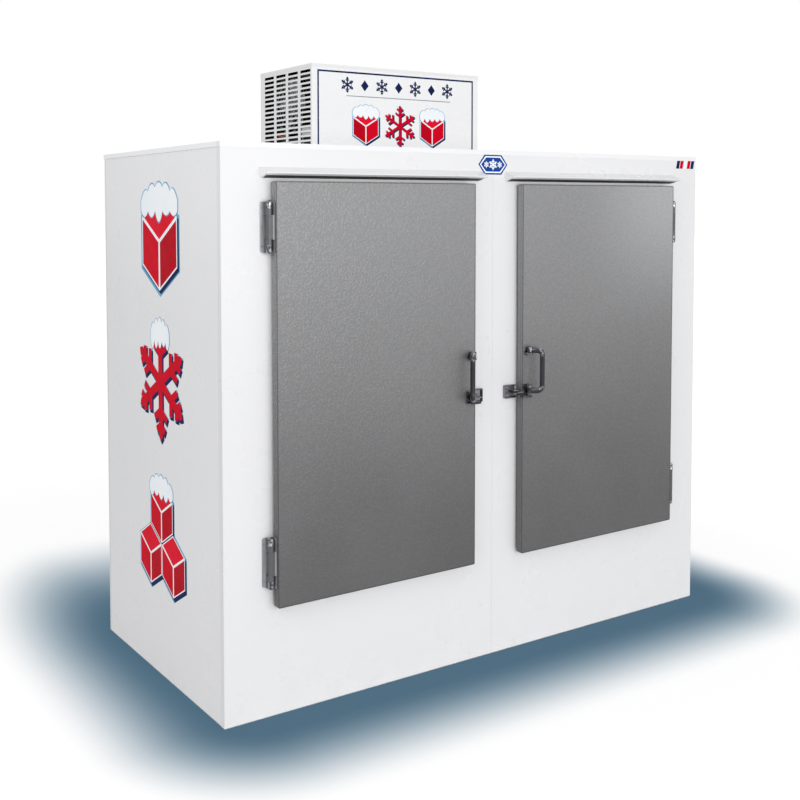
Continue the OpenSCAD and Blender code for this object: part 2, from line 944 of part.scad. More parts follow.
// Tapered body of the inner panel's dish, shrunk by a wall thickness
module dish(wall) {
    w = way_x1 - way_x0 - 2 * (trim_t + dish_gap + wall);
    h = way_z1 - way_z0 - 2 * (trim_t + dish_gap + wall);
    depth = gasket_t + dish_depth + inner_t - wall;
    foot = wall > 0 ? e : 0;
    translate([door_mid, door_back - inner_t, (door_z + door_z1) / 2])
        intersection() {
            translate([0, 0, -h / 2])
                linear_extrude(h)
                    dish_profile(w, depth, foot);
            translate([w / 2, 0, 0])
                rotate([0, -90, 0])
                    linear_extrude(w)
                        dish_profile(h, depth, foot);
        }
}

// Trapezoid with sloping sides; foot carries it into what stands behind it
module dish_profile(w, depth, foot) {
    polygon([
        [-w / 2, -foot],
        [w / 2, -foot],
        [w / 2 - dish_draft, depth],
        [-w / 2 + dish_draft, depth]
    ]);
}

// Inner panel with its raised dish
module door_inner_panel_right() {
    color(liner_white)
        difference() {
            union() {
                inner_plate(door_back - inner_t, door_back);
                dish(0);
            }
            dish(inner_t);
        }
}

// Flat sheet that fits inside the outer pan's sides
module inner_plate(y0, y1) {
    face_plate(
        door_x0 + door_sheet, door_z + door_sheet,
        door_w - 2 * door_sheet, door_h - 2 * door_sheet,
        door_corner_r - door_sheet, y0, y1
    );
}

module door_inner_panel_left() {
    left_hand()
        door_inner_panel_right();
}

module door_insulation_right() {
    color(foam_yellow)
        union() {
            inner_plate(door_face + door_sheet, door_back - inner_t);
            dish(inner_t);
        }
}

module door_insulation_left() {
    left_hand()
        door_insulation_right();
}

// Frame of one strip of the gasket
module gasket_ring(inset, w, y0, y1) {
    difference() {
        face_plate(
            door_x0 + inset, door_z + inset, door_w - 2 * inset, door_h - 2 * inset,
            door_corner_r, y0, y1
        );
        face_plate(
            door_x0 + inset + w, door_z + inset + w,
            door_w - 2 * (inset + w), door_h - 2 * (inset + w),
            door_corner_r, y0 - e, y1 + e
        );
    }
}

// Base strip on the door, folded neck, and the magnetic bead that meets the wall
module door_gasket_right() {
    base_y = door_back + gasket_t / 4;
    neck_y = door_back + gasket_t / 2;
    bead_in = gasket_inset + (gasket_w - bead_w) / 2;
    color(black)
        union() {
            gasket_ring(gasket_inset, gasket_w, door_back, base_y);
            gasket_ring(bead_in + bead_w / 4, bead_w / 2, base_y - e, neck_y + e);
            gasket_ring(bead_in, bead_w, neck_y, wall_y - seal_gap);
        }
}

module door_gasket_left() {
    left_hand()
        door_gasket_right();
}

// ---- Hinges ----

// Knuckle round the hinge axis between two heights
module knuckle(z0, z1) {
    translate([hinge_x, hinge_y, z0])
        cylinder(h = z1 - z0, r = knuckle_r);
}

module hinge_bore(z) {
    translate([hinge_x, hinge_y, z - e])
        cylinder(h = hinge_h + 2 * e, r = pin_r + pin_gap);
}

// Leaf on the wall, with a knuckle at each end
module hinge_wall_leaf(z) {
    difference() {
        union() {
            face_plate(
                hinge_x - leaf_lead, z, leaf_w, hinge_h, leaf_corner_r, wall_y - leaf_t, wall_y
            );
            for (z0 = [z, z + hinge_h - knuckle_end]) {
                knuckle(z0, z0 + knuckle_end);
                block(
                    [hinge_x - knuckle_r, hinge_y, z0],
                    [hinge_x + knuckle_r, wall_y - leaf_t + e, z0 + knuckle_end]
                );
            }
        }
        hinge_bore(z);
    }
}

module hinge_wall_leaves_right() {
    color(hinge_grey)
        for (z = hinge_z)
            hinge_wall_leaf(z);
}

module hinge_wall_leaves_left() {
    left_hand()
        hinge_wall_leaves_right();
}

// Leaf on the door's side, with the middle knuckle
module hinge_door_leaf(z) {
    mid = z + knuckle_end + knuckle_gap;
    difference() {
        union() {
            block(
                [door_x1, door_face + leaf_inset, z],
                [door_x1 + leaf_t, door_back - leaf_inset, z + hinge_h]
            );
            knuckle(mid, mid + knuckle_mid);
            block(
                [door_x1 + leaf_t - e, hinge_y - knuckle_r, mid],
                [hinge_x, min(hinge_y + knuckle_r, door_back - leaf_inset), mid + knuckle_mid]
            );
        }
        hinge_bore(z);
    }
}

module hinge_door_leaves_right() {
    color(hinge_grey)
        for (z = hinge_z)
            hinge_door_leaf(z);
}

module hinge_door_leaves_left() {
    left_hand()
        hinge_door_leaves_right();
}

// Pin with a head that rests on the upper knuckle
module hinge_pins_right() {
    color(metal)
        for (z = hinge_z)
            translate([hinge_x, hinge_y, z]) {
                translate([0, 0, -pin_foot])
                    cylinder(h = pin_foot + hinge_h + e, r = pin_r);
                translate([0, 0, hinge_h])
                    cylinder(h = pin_head_h, r = pin_head_r);
            }
}

module hinge_pins_left() {
    left_hand()
        hinge_pins_right();
}

// ---- Latches ----

// Lug that reaches from the door's face to the handle's pivot
module pivot_lug(z, t, r) {
    difference() {
        union() {
            translate([pivot_x, pivot_y, z])
                cylinder(h = t, r = r);
            block([pivot_x - r, pivot_y, z], [pivot_x + r, door_face - mount_t + e, z + t]);
        }
        translate([pivot_x, pivot_y, z - e])
            cylinder(h = t + 2 * e, r = trunnion_r + trunnion_gap);
    }
}

// Clevis plate on the door, with the hasp tab beyond the door's free edge
module latch_body_right() {
    plate_y = door_face - mount_t;
    color(dark_chrome)
        difference() {
            union() {
                face_plate(
                    door_x0 + latch_inset, latch_z - latch_drop, latch_w, latch_h,
                    plate_r, plate_y, door_face
                );
                pivot_lug(lug_top, lug_t, hub_r);
                pivot_lug(lug_low - lug_t, lug_t, hub_r);
                block(
                    [strike_x1 - ear_w + tab_gap, plate_y - tab_step, tab_z],
                    [door_x0 - tab_gap, wall_y - strike_t - 2 * tab_gap, tab_z + tab_t]
                );
                block(
                    [door_x0 - tab_gap - e, plate_y - tab_step, tab_z],
                    [pivot_x - hub_r - lug_rim, plate_y + e, tab_z + tab_t]
                );
            }
            padlock_hole(tab_z, tab_t);
            block(
                [door_x0 + latch_inset - e, plate_y - e, toe_z - toe_gap],
                [notch_x, door_face + e, toe_z + toe_h + toe_gap]
            );
        }
}

module latch_body_left() {
    left_hand()
        latch_body_right();
}

module padlock_hole(z, h) {
    translate([padlock_x, padlock_y, z - e])
        cylinder(h = h + 2 * e, r = padlock_r);
}

// Round base with one lug that carries the handle's upper trunnion
module handle_bracket_right() {
    color(dark_chrome)
        union() {
            translate([pivot_x, door_face, bracket_z + bracket_up])
                rotate([90, 0, 0])
                    cylinder(h = mount_t, r = bracket_r);
            pivot_lug(bracket_z, lug_t, boss_r + lug_rim);
        }
}

module handle_bracket_left() {
    left_hand()
        handle_bracket_right();
}

// D-shaped handle with an upper trunnion, a lower hub and the kick-off toe
module door_handle_right() {
    grip = [handle_reach, 0, 0];
    low = [0, 0, arm_low];
    top = [0, 0, arm_top];
    color(dark_chrome)
        translate([pivot_x, pivot_y, 0]) {
            rotate([0, 0, -handle_angle]) {
                pipe([low, low + grip, top + grip, top], bend_r, rod_r);
                for (at = [low, top])
                    translate(at)
                        rotate([0, 90, 0])
                            cylinder(h = handle_reach - bend_r, r1 = arm_r, r2 = rod_r + arm_step);
            }
            translate([0, 0, arm_low - hub_h / 2])
                cylinder(h = hub_h, r = hub_r);
            translate([0, 0, arm_top - boss_h / 2])
                cylinder(h = boss_h, r = boss_r);
            translate([0, 0, toe_z])
                cylinder(h = lug_top + lug_t - toe_z, r = trunnion_r);
            translate([0, 0, bracket_z])
                cylinder(h = arm_top - bracket_z, r = trunnion_r);
            kick_off_toe();
        }
}

// Arm and finger that push against the strike's pad as the handle is pulled
module kick_off_toe() {
    translate([0, 0, toe_z])
        cylinder(h = toe_h, r = toe_r);
    block([-toe_end, -toe_t / 2, toe_z], [0, toe_t / 2, toe_z + toe_h]);
    block([-toe_end, -toe_t / 2, toe_z], [-toe_x, toe_finger, toe_z + toe_h]);
}

module door_handle_left() {
    left_hand()
        door_handle_right();
}

// Plate on the front wall with a raised border, a screw, a pad and two ears for the hasp tab
module latch_strike() {
    z0 = latch_z - latch_h / 2;
    base_y = wall_y - strike_t;
    border_y = wall_y - border_h;
    ear_x0 = strike_x1 - ear_w;
    difference() {
        union() {
            face_plate(strike_x0, z0, strike_w, latch_h, plate_r, base_y, wall_y);
            difference() {
                face_plate(strike_x0, z0, strike_w, latch_h, plate_r, border_y, wall_y);
                face_plate(
                    strike_x0 + border_w, z0 + border_w, strike_w, latch_h - 2 * border_w,
                    border_r, border_y - e, base_y
                );
            }
            for (z = [tab_z - ear_gap - ear_t, tab_z + tab_t + ear_gap])
                translate([ear_x0, wall_y - ear_reach, z])
                    linear_extrude(ear_t)
                        round_rect(ear_w, ear_reach, ear_r);
            block(
                [strike_x1 - toe_over - toe_w, min(pad_y, base_y), toe_z],
                [strike_x1, base_y + e, toe_z + toe_h]
            );
            translate([(strike_x0 + border_w + ear_x0) / 2, wall_y, latch_z])
                rotate([90, 0, 0])
                    cylinder(h = strike_t + screw_h, r = screw_r);
        }
        padlock_hole(tab_z - ear_gap - ear_t, 2 * (ear_t + ear_gap) + tab_t);
    }
}

module latch_strikes() {
    color(dark_chrome) {
        latch_strike();
        left_hand()
            latch_strike();
    }
}

// ---- Condensing unit ----

module unit_base() {
    color(metal)
        difference() {
            block(
                [-unit_x + sheet_t, unit_y0 + sheet_t, body_h],
                [unit_x - sheet_t, unit_y1 - sheet_t, unit_floor + unit_flange]
            );
            block(
                [-unit_x + 2 * sheet_t, unit_y0 + 2 * sheet_t, unit_floor],
                [unit_x - 2 * sheet_t, unit_y1 - 2 * sheet_t, unit_floor + unit_flange + e]
            );
            roof_hole();
        }
}

// Top sheet with a lip on three sides, and the rear sheet folded down from it
module unit_cover() {
    color(white)
        difference() {
            union() {
                difference() {
                    block(
                        [-unit_x - sheet_t, unit_y0 - sheet_t, unit_z1 - cover_lip],
                        [unit_x + sheet_t, unit_y1, unit_z1]
                    );
                    block(
                        [-unit_x, unit_y0, unit_z1 - cover_lip - e],
                        [unit_x, unit_y1 - sheet_t, grille_z1]
                    );
                }
                block([-unit_x, unit_y1 - sheet_t, body_h], [unit_x, unit_y1, unit_z1 - e]);
            }
            for (side = [-1, 1])
                for (i = [0 : rear_rows - 1])
                    translate([
                        side * (unit_x - rear_in) - slot_w / 2,
                        unit_y1 - sheet_t - e,
                        unit_z1 - rear_drop - i * slot_pitch
                    ])
                        cube([slot_w, sheet_t + 2 * e, slot_h]);
        }
}

// Side sheet with columns of air slots
module unit_grille_right() {
    x0 = unit_x - sheet_t;
    color(white)
        difference() {
            block([x0, unit_y0 + sheet_t, body_h], [unit_x, unit_y1 - sheet_t, grille_z1]);
            for (c = [0 : slot_cols - 1])
                for (i = [0 : slot_rows - 1])
                    translate([
                        x0 - e,
                        unit_y0 + sheet_t + col_start + c * col_pitch,
                        unit_z1 - slot_drop - slot_h / 2 - i * slot_pitch
                    ])
                        cube([sheet_t + 2 * e, slot_w, slot_h]);
        }
}

module unit_grille_left() {
    left_hand()
        unit_grille_right();
}

module sign_panel() {
    color(white)
        block([-unit_x, unit_y0, body_h], [unit_x, unit_y0 + sheet_t, grille_z1]);
}

// Domed shell on three rubber feet, with a terminal cover
module compressor() {
    foot_out = comp_r + foot_r;
    color(black)
        translate([comp_x, comp_y, shell_z]) {
            rotate_extrude() {
                translate([0, dome_r])
                    square([comp_r, comp_h - 2 * dome_r]);
                square([comp_r - dome_r, comp_h]);
                for (z = [dome_r, comp_h - dome_r])
                    intersection() {
                        translate([comp_r - dome_r, z])
                            circle(dome_r);
                        square([comp_r, comp_h]);
                    }
            }
            for (a = [30, 150, 270])
                rotate([0, 0, a]) {
                    translate([0, -foot_r, 0])
                        cube([foot_out, 2 * foot_r, foot_t]);
                    translate([foot_out, 0, -foot_h])
                        cylinder(h = foot_h + foot_t, r = foot_r);
                }
            translate([-terminal_w / 2, -comp_r - terminal_out, (comp_h - terminal_h) / 2])
                cube([terminal_w, terminal_out + comp_r / 2, terminal_h]);
        }
}

// Finned block between two end plates, with the tube bends at its ends
module finned_coil(size, rows, grooves) {
    pitch = (size[1] - 2 * coil_end) / grooves;
    row_pitch = size[2] / rows;
    difference() {
        cube(size);
        for (i = [1 : grooves - 1])
            for (x = [-e, size[0] - groove_depth])
                translate([x, coil_end + (i - 0.25) * pitch, coil_end])
                    cube([groove_depth + e, pitch / 2, size[2] - 2 * coil_end]);
    }
    for (i = [0 : rows / 2 - 1])
        for (flip = [0, 1])
            translate([size[0] / 2, flip * (size[1] - 2 * e) + e, (2 * i + 1) * row_pitch])
                rotate([0, -90, 180 * (1 - flip)])
                    rotate_extrude(angle = 180)
                        translate([row_pitch / 2, 0])
                            circle(coil_tube_r, $fn = 32);
}

module condenser_coil() {
    color(metal)
        union() {
            translate([coil_x, coil_y0, coil_z])
                finned_coil([coil_d, coil_y1 - coil_y0, coil_h], coil_rows, coil_grooves);
            for (y = leg_y)
                block([coil_x, y, unit_floor], [coil_face, y + leg_w, coil_z + e]);
        }
}

// Box from the coil to the fan's ring, closed by the wire guard
module fan_shroud() {
    color(black)
        union() {
            difference() {
                block([shroud_x, coil_y0, coil_z], [coil_x, coil_y1, coil_z + coil_h]);
                block(
                    [shroud_x + shroud_t, coil_y0 + shroud_t, coil_z + shroud_t],
                    [coil_x + e, coil_y1 - shroud_t, coil_z + coil_h - shroud_t]
                );
                fan_tube(shroud_x - e, shroud_x + shroud_t + e, ring_r);
            }
            difference() {
                fan_tube(guard_x, shroud_x + shroud_t, ring_r + shroud_t);
                fan_tube(guard_x - e, shroud_x + shroud_t + e, ring_r);
            }
            wire_guard();
            for (y = leg_y)
                block([shroud_x, y, unit_floor], [shroud_x + leg_w, y + leg_w, coil_z + e]);
        }
}

// Cylinder on the fan's axis between two places
module fan_tube(x0, x1, r) {
    translate([x0, fan_y, fan_z])
        rotate([0, 90, 0])
            cylinder(h = x1 - x0, r = r);
}

// Concentric rings carried by radial bars across the shroud's mouth
module wire_guard() {
    for (i = [1 : guard_rings - 1])
        difference() {
            fan_tube(guard_x, guard_x + guard_wire, i * ring_r / guard_rings + guard_wire);
            fan_tube(guard_x - e, guard_x + guard_wire + e, i * ring_r / guard_rings);
        }
    for (a = [45 : 90 : 315])
        translate([guard_x, fan_y, fan_z])
            rotate([a, 0, 0])
                translate([0, -guard_wire / 2, 0])
                    cube([guard_wire, guard_wire, ring_r + e]);
}

// Motor behind the fan, on four arms fixed to the shroud's box
module fan_motor() {
    x0 = fan_back + motor_gap;
    x1 = x0 + motor_l;
    color(black)
        union() {
            fan_tube(x0, x1, motor_r);
            fan_tube(fan_back - blade_d + shaft_in, x0 + e, shaft_r);
            block(
                [x1 - arm_w, coil_y0 + shroud_t, fan_z - arm_w / 2],
                [x1, coil_y1 - shroud_t, fan_z + arm_w / 2]
            );
            block(
                [x1 - arm_w, fan_y - arm_w / 2, coil_z + shroud_t],
                [x1, fan_y + arm_w / 2, coil_z + coil_h - shroud_t]
            );
        }
}

// Hub and cambered blades of an axial fan, on +Z
module axial_fan(tip_r) {
    difference() {
        union() {
            cylinder(h = blade_d, r = fan_hub_r);
            for (i = [0 : fan_blades - 1])
                rotate([0, 0, i * 360 / fan_blades])
                    fan_blade(tip_r);
        }
        translate([0, 0, -e])
            cylinder(h = blade_d + 2 * e, r = shaft_r + pin_gap);
    }
}

// Blade along +X: a strip of a thin drum, from one lower edge to the other upper edge
module fan_blade(tip_r) {
    chord = norm([blade_w, blade_d]);
    reach = sqrt(camber_r * camber_r - chord * chord / 4);
    spread = blade_w / 2 / tan(150 / fan_blades);
    intersection() {
        cylinder(h = blade_d, r = tip_r);
        linear_extrude(blade_d)
            polygon([
                [fan_hub_r / 2, 0],
                [spread, -blade_w / 2],
                [tip_r, -blade_w / 2],
                [tip_r, blade_w / 2],
                [spread, blade_w / 2]
            ]);
        translate([0, reach * blade_d / chord, blade_d / 2 - reach * blade_w / chord])
            rotate([0, 90, 0])
                difference() {
                    cylinder(h = tip_r, r = camber_r + blade_t / 2, $fn = 128);
                    translate([0, 0, -e])
                        cylinder(h = tip_r + 2 * e, r = camber_r - blade_t / 2, $fn = 128);
                }
    }
}

module condenser_fan() {
    color(metal)
        translate([fan_back, fan_y, fan_z])
            rotate([0, -90, 0])
                axial_fan(fan_r);
}

// Suction and liquid lines to the evaporator, and the discharge line to the condenser
module refrigerant_lines() {
    suction_z = unit_floor + suction_up;
    liquid_z = unit_floor + liquid_up;
    past_y = comp_y + comp_r + line_clear + line_r;
    over_z = comp_top + discharge_up;
    down_x = coil_face + discharge_up;
    end_x = evap_x - evap_t;
    color(copper) {
        pipe(
            [
                [comp_x + comp_r, suction_y, suction_z],
                [lines_x, suction_y, suction_z],
                [lines_x, suction_y, lines_z],
                [end_x, suction_y, lines_z]
            ],
            line_bend, line_r
        );
        pipe(
            [
                [coil_face, past_y, liquid_z],
                [lines_x, past_y, liquid_z],
                [lines_x, liquid_y, liquid_z],
                [lines_x, liquid_y, lines_z],
                [end_x, liquid_y, lines_z]
            ],
            line_bend, line_r
        );
        pipe(
            [
                [comp_x, comp_y, comp_top],
                [comp_x, comp_y, over_z],
                [down_x, comp_y, over_z],
                [down_x, comp_y, comp_top - discharge_up],
                [coil_face, comp_y, comp_top - discharge_up]
            ],
            line_bend, line_r
        );
    }
}

// Box for the contactor and timer, with the thermostat's shaft on its side
module control_box() {
    color(metal)
        union() {
            block(
                [control_x, control_y, unit_floor],
                [control_x + control_w, control_y + control_d, unit_floor + control_h]
            );
            translate([control_x + e, knob_y, knob_z])
                rotate([0, -90, 0])
                    cylinder(h = 0.7 * knob_h, r = shaft_r);
        }
}

// Fluted knob with a pointer, bored for its shaft
module thermostat_knob() {
    flutes = 12;
    flute_r = knob_r / 6;
    color(black)
        translate([control_x - knob_gap, knob_y, knob_z])
            rotate([0, -90, 0])
                difference() {
                    union() {
                        cylinder(h = knob_h, r = knob_r);
                        translate([-pointer_h, 0, knob_h - e])
                            cube([2 * pointer_h, knob_r - pointer_h, pointer_h]);
                    }
                    for (i = [0 : flutes - 1])
                        rotate([0, 0, i * 360 / flutes])
                            translate([knob_r + flute_r / 3, 0, flute_r])
                                cylinder(h = knob_h, r = flute_r);
                    translate([0, 0, -e])
                        cylinder(h = 0.75 * knob_h, r = shaft_r + pin_gap);
                }
}

// ---- Evaporator ----

// Housing under the liner's roof: fan plate in front, open back, drain pan with its pipe
module evaporator_housing() {
    pipe_y1 = half_d + drain_out;
    pipe_l = pipe_y1 - evap_y1 + evap_t;
    color(metal)
        difference() {
            union() {
                difference() {
                    block([-evap_x, evap_y0, evap_low], [evap_x, evap_y1, in_top]);
                    block(
                        [-evap_x + evap_t, evap_y0 + evap_t, evap_low + evap_t],
                        [evap_x - evap_t, evap_y1 - evap_t, in_top - evap_t]
                    );
                    block(
                        [-evap_x + evap_rim, evap_y1 - evap_t - e, evap_low + 2 * evap_rim],
                        [evap_x - evap_rim, evap_y1 + e, in_top - evap_rim]
                    );
                    evap_tube(evap_y0 - e, evap_y0 + evap_t + e, evap_ring_r);
                    for (y = [suction_y, liquid_y])
                        rod(
                            [evap_x - evap_t - e, y, lines_z], [evap_x + e, y, lines_z],
                            line_r + pass_gap
                        );
                }
                difference() {
                    evap_tube(evap_y0 - evap_ring_d, evap_y0 + evap_t, evap_ring_r + evap_t);
                    evap_tube(evap_y0 - evap_ring_d - e, evap_y0 + evap_t + e, evap_ring_r);
                }
                translate([0, pipe_y1, drain_z])
                    rotate([90, 0, 0]) {
                        cylinder(h = pipe_l, r = drain_r);
                        cylinder(h = drain_out - spigot_gap, r = spigot_r);
                    }
            }
            translate([0, pipe_y1 + e, drain_z])
                rotate([90, 0, 0])
                    cylinder(h = pipe_l + 2 * e, r = drain_r - drain_t);
        }
}

// Cylinder on the evaporator fan's axis between two places
module evap_tube(y0, y1, r) {
    translate([0, y1, evap_mid])
        rotate([90, 0, 0])
            cylinder(h = y1 - y0, r = r);
}

module evaporator_coil() {
    x1 = evap_x - evap_coil_side;
    low = evap_low + evap_t + evap_coil_up;
    color(metal)
        translate([x1, evap_coil_y, low])
            rotate([0, 0, 90])
                finned_coil(
                    [evap_coil_d, 2 * x1, in_top - evap_t - low],
                    coil_rows, coil_grooves
                );
}

module evaporator_fan_motor() {
    y0 = evap_fan_back + motor_gap;
    y1 = y0 + evap_motor_l;
    color(black)
        union() {
            evap_tube(y0, y1, evap_motor_r);
            evap_tube(evap_fan_back - blade_d + shaft_in, y0 + e, shaft_r);
            block(
                [-arm_w / 2, y1 - arm_w, evap_low + evap_t],
                [arm_w / 2, y1, in_top - evap_t]
            );
        }
}

module evaporator_fan() {
    color(metal)
        translate([0, evap_fan_back, evap_mid])
            rotate([90, 0, 0])
                axial_fan(evap_fan_r);
}

// ---- Output ----

base_pan();
left_side_panel();
right_side_panel();
back_panel();
front_panel_left();
front_panel_right();
top_cap();
insulation_left();
insulation_right();
insulation_back();
insulation_floor();
insulation_ceiling();
insulation_header();
insulation_sill();
insulation_jamb_left();
insulation_jamb_right();
insulation_mullion();
inner_liner();
doorway_trims();
floor_racks();
rain_hood_left();
rain_hood_right();
door_skin_left();
door_skin_right();
door_insulation_left();
door_insulation_right();
door_inner_panel_left();
door_inner_panel_right();
door_gasket_left();
door_gasket_right();
hinge_wall_leaves_left();
hinge_wall_leaves_right();
hinge_door_leaves_left();
hinge_door_leaves_right();
hinge_pins_left();
hinge_pins_right();
latch_strikes();
latch_body_left();
latch_body_right();
handle_bracket_left();
handle_bracket_right();
door_handle_left();
door_handle_right();
unit_base();
unit_cover();
unit_grille_left();
unit_grille_right();
sign_panel();
compressor();
condenser_coil();
fan_shroud();
fan_motor();
condenser_fan();
refrigerant_lines();
control_box();
thermostat_knob();
evaporator_housing();
evaporator_coil();
evaporator_fan_motor();
evaporator_fan();
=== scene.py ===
"""Looks of the two-door ice merchandiser freezer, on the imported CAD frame. Metres, +Z up."""

import json
import math
import random

import bpy
from mathutils import Matrix, Vector
from mathutils.geometry import tessellate_polygon


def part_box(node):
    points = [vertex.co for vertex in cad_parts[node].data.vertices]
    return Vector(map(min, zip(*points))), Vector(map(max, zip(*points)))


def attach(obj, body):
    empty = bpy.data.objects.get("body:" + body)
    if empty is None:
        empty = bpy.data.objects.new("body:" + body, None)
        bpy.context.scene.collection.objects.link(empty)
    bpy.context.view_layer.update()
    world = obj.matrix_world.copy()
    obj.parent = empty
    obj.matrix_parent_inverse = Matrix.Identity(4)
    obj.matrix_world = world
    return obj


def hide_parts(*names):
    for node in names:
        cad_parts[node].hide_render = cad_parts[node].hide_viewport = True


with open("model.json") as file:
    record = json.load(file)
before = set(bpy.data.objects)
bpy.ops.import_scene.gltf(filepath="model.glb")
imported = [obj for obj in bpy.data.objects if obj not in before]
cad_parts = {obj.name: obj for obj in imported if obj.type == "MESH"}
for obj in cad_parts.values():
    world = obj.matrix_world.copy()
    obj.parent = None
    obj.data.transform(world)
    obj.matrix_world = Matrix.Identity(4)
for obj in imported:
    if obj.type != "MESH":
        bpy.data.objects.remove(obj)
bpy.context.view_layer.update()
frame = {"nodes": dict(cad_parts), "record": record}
nodes = frame["nodes"]

# ---- Camera ----

IMAGE_PX = 800
SENSOR_MM = 36
FOCAL_PX = 1092.03
CENTRE_PX = (329.99, 261.68)
EYE = (-2.84327, -3.81278, 1.77658)
YAW, PITCH, ROLL = 0.56609, 0.04754, -0.00339


def show(made):
    """Put an object into the scene."""
    bpy.context.scene.collection.objects.link(made)


def make_camera():
    """Camera at the photograph's place; the shift keeps the photograph's vanishing points."""
    data = bpy.data.cameras.new("camera")
    data.sensor_width = SENSOR_MM
    data.lens = FOCAL_PX / IMAGE_PX * SENSOR_MM
    data.shift_x = (IMAGE_PX / 2 - CENTRE_PX[0]) / IMAGE_PX
    data.shift_y = (CENTRE_PX[1] - IMAGE_PX / 2) / IMAGE_PX
    data.dof.use_dof = False
    data.clip_start, data.clip_end = 0.05, 200
    fwd = Vector((math.sin(YAW) * math.cos(PITCH), math.cos(YAW) * math.cos(PITCH), -math.sin(PITCH)))
    right = Vector((math.cos(YAW), -math.sin(YAW), 0))
    up = right.cross(fwd)
    c, s = math.cos(ROLL), math.sin(ROLL)
    x, y = right * c + up * s, up * c - right * s
    camera = bpy.data.objects.new("camera", data)
    show(camera)
    turn = Matrix((x, y, -fwd)).transposed().to_4x4()
    camera.matrix_world = Matrix.Translation(EYE) @ turn
    bpy.context.scene.camera = camera


make_camera()
bpy.context.scene.view_settings.view_transform = "Standard"

# ---- Places on the frame ----

DOOR_X0, DOOR_X1, DOOR_Z0, DOOR_Z1 = 0.121, 1.001, 0.395, 1.875
DOOR_FACE, WALL_Y, CAP_Y, BACK_Y, SIDE_X = -0.573, -0.532, -0.5335, 0.532, 1.191
HINGE_X, HINGE_Y, HINGE_Z, HINGE_H = 1.020, -0.556, (0.465, 1.630), 0.175
FLANGE_Y = -0.507
PIVOT_X, PIVOT_Y, HANDLE_Z = 0.146, -0.591, 1.137
LATCH_Z, STRIKE_X, STRIKE_HALF = 1.049, 0.093, (0.031, 0.022)
SIGN_Y, UNIT_BACK_Y, UNIT_SIDE_X = 0.0945, 0.5335, 0.4495
FAN_Y, FAN_Z, FAN_MOUTH_R = 0.3005, 2.222, 0.13
DRAIN_Z, EVAPORATOR_FAN = 1.711, (0, 0.1098, 1.813)
HANDS = ((-1, "left"), (1, "right"))

# ---- Node materials ----


def rgb(r, g, b):
    """Linear colour of a display colour in steps of 255."""
    return tuple(((v / 255 + 0.055) / 1.055) ** 2.4 if v > 10 else v / 255 / 12.92 for v in (r, g, b))


class Graph:
    """One node material: textures in object space that end in a Principled shader."""

    def __init__(self, name, metallic=0.0, roughness=0.5, **values):
        self.mat = bpy.data.materials.new(name)
        self.mat.use_nodes = True
        self.tree = self.mat.node_tree
        self.shader = self.tree.nodes["Principled BSDF"]
        self.put(self.shader, "Metallic", metallic)
        self.put(self.shader, "Roughness", roughness)
        for key, value in values.items():
            self.put(self.shader, key.replace("_", " "), value)
        self.coord = self.add("ShaderNodeTexCoord").outputs["Object"]

    def put(self, node, key, value):
        socket = node.inputs[key]
        if isinstance(value, bpy.types.NodeSocket):
            self.tree.links.new(value, socket)
        elif isinstance(value, tuple) and len(value) == 3 and socket.type == "RGBA":
            socket.default_value = (*value, 1)
        else:
            socket.default_value = value

    def add(self, kind, inputs=None, **props):
        node = self.tree.nodes.new(kind)
        for key, value in props.items():
            setattr(node, key, value)
        for key, value in (inputs or {}).items():
            self.put(node, key, value)
        return node

    def math(self, op, a, b=0.0, clamp=False):
        node = self.add("ShaderNodeMath", {0: a, 1: b}, operation=op, use_clamp=clamp)
        return node.outputs[0]

    def off(self, value, middle):
        """Distance of a value from a middle."""
        return self.math("ABSOLUTE", self.math("SUBTRACT", value, middle))

    def noise(self, scale, detail=3.0, rough=0.5, warp=0.0, at=None):
        node = self.add("ShaderNodeTexNoise", {"Vector": at or self.coord, "Scale": scale,
                        "Detail": detail, "Roughness": rough, "Distortion": warp})
        return node.outputs["Fac"]

    def cells(self, scale, at=None):
        node = self.add("ShaderNodeTexVoronoi", {"Vector": at or self.coord, "Scale": scale},
                        feature="SMOOTH_F1")
        return node.outputs["Distance"]

    def stretched(self, x, y, z):
        node = self.add("ShaderNodeMapping", {"Vector": self.coord, "Scale": (x, y, z)})
        return node.outputs["Vector"]

    def ease(self, value, lo, hi, a=0.0, b=1.0):
        node = self.add("ShaderNodeMapRange", {"Value": value, "From Min": lo, "From Max": hi,
                        "To Min": a, "To Max": b}, interpolation_type="SMOOTHSTEP")
        return node.outputs["Result"]

    def mix(self, fac, a, b):
        node = self.add("ShaderNodeMix", data_type="RGBA", blend_type="MIX")
        for socket, value in zip((node.inputs[0], node.inputs[6], node.inputs[7]), (fac, a, b)):
            if isinstance(value, bpy.types.NodeSocket):
                self.tree.links.new(value, socket)
            elif isinstance(value, tuple):
                socket.default_value = (*value, 1)
            else:
                socket.default_value = value
        return node.outputs[2]

    def axis(self, which):
        return self.add("ShaderNodeSeparateXYZ", {0: self.coord}).outputs[which]

    def bump(self, height, strength, distance, normal=None):
        inputs = {"Height": height, "Strength": strength, "Distance": distance}
        if normal:
            inputs["Normal"] = normal
        return self.add("ShaderNodeBump", inputs).outputs["Normal"]

    def round_edges(self, radius):
        node = self.add("ShaderNodeBevel", {"Radius": radius}, samples=6)
        return node.outputs["Normal"]

    def finish(self, colour=None, roughness=None, normal=None):
        for key, value in (("Base Color", colour), ("Roughness", roughness), ("Normal", normal)):
            if value is not None:
                self.put(self.shader, key, value)
        return self.mat


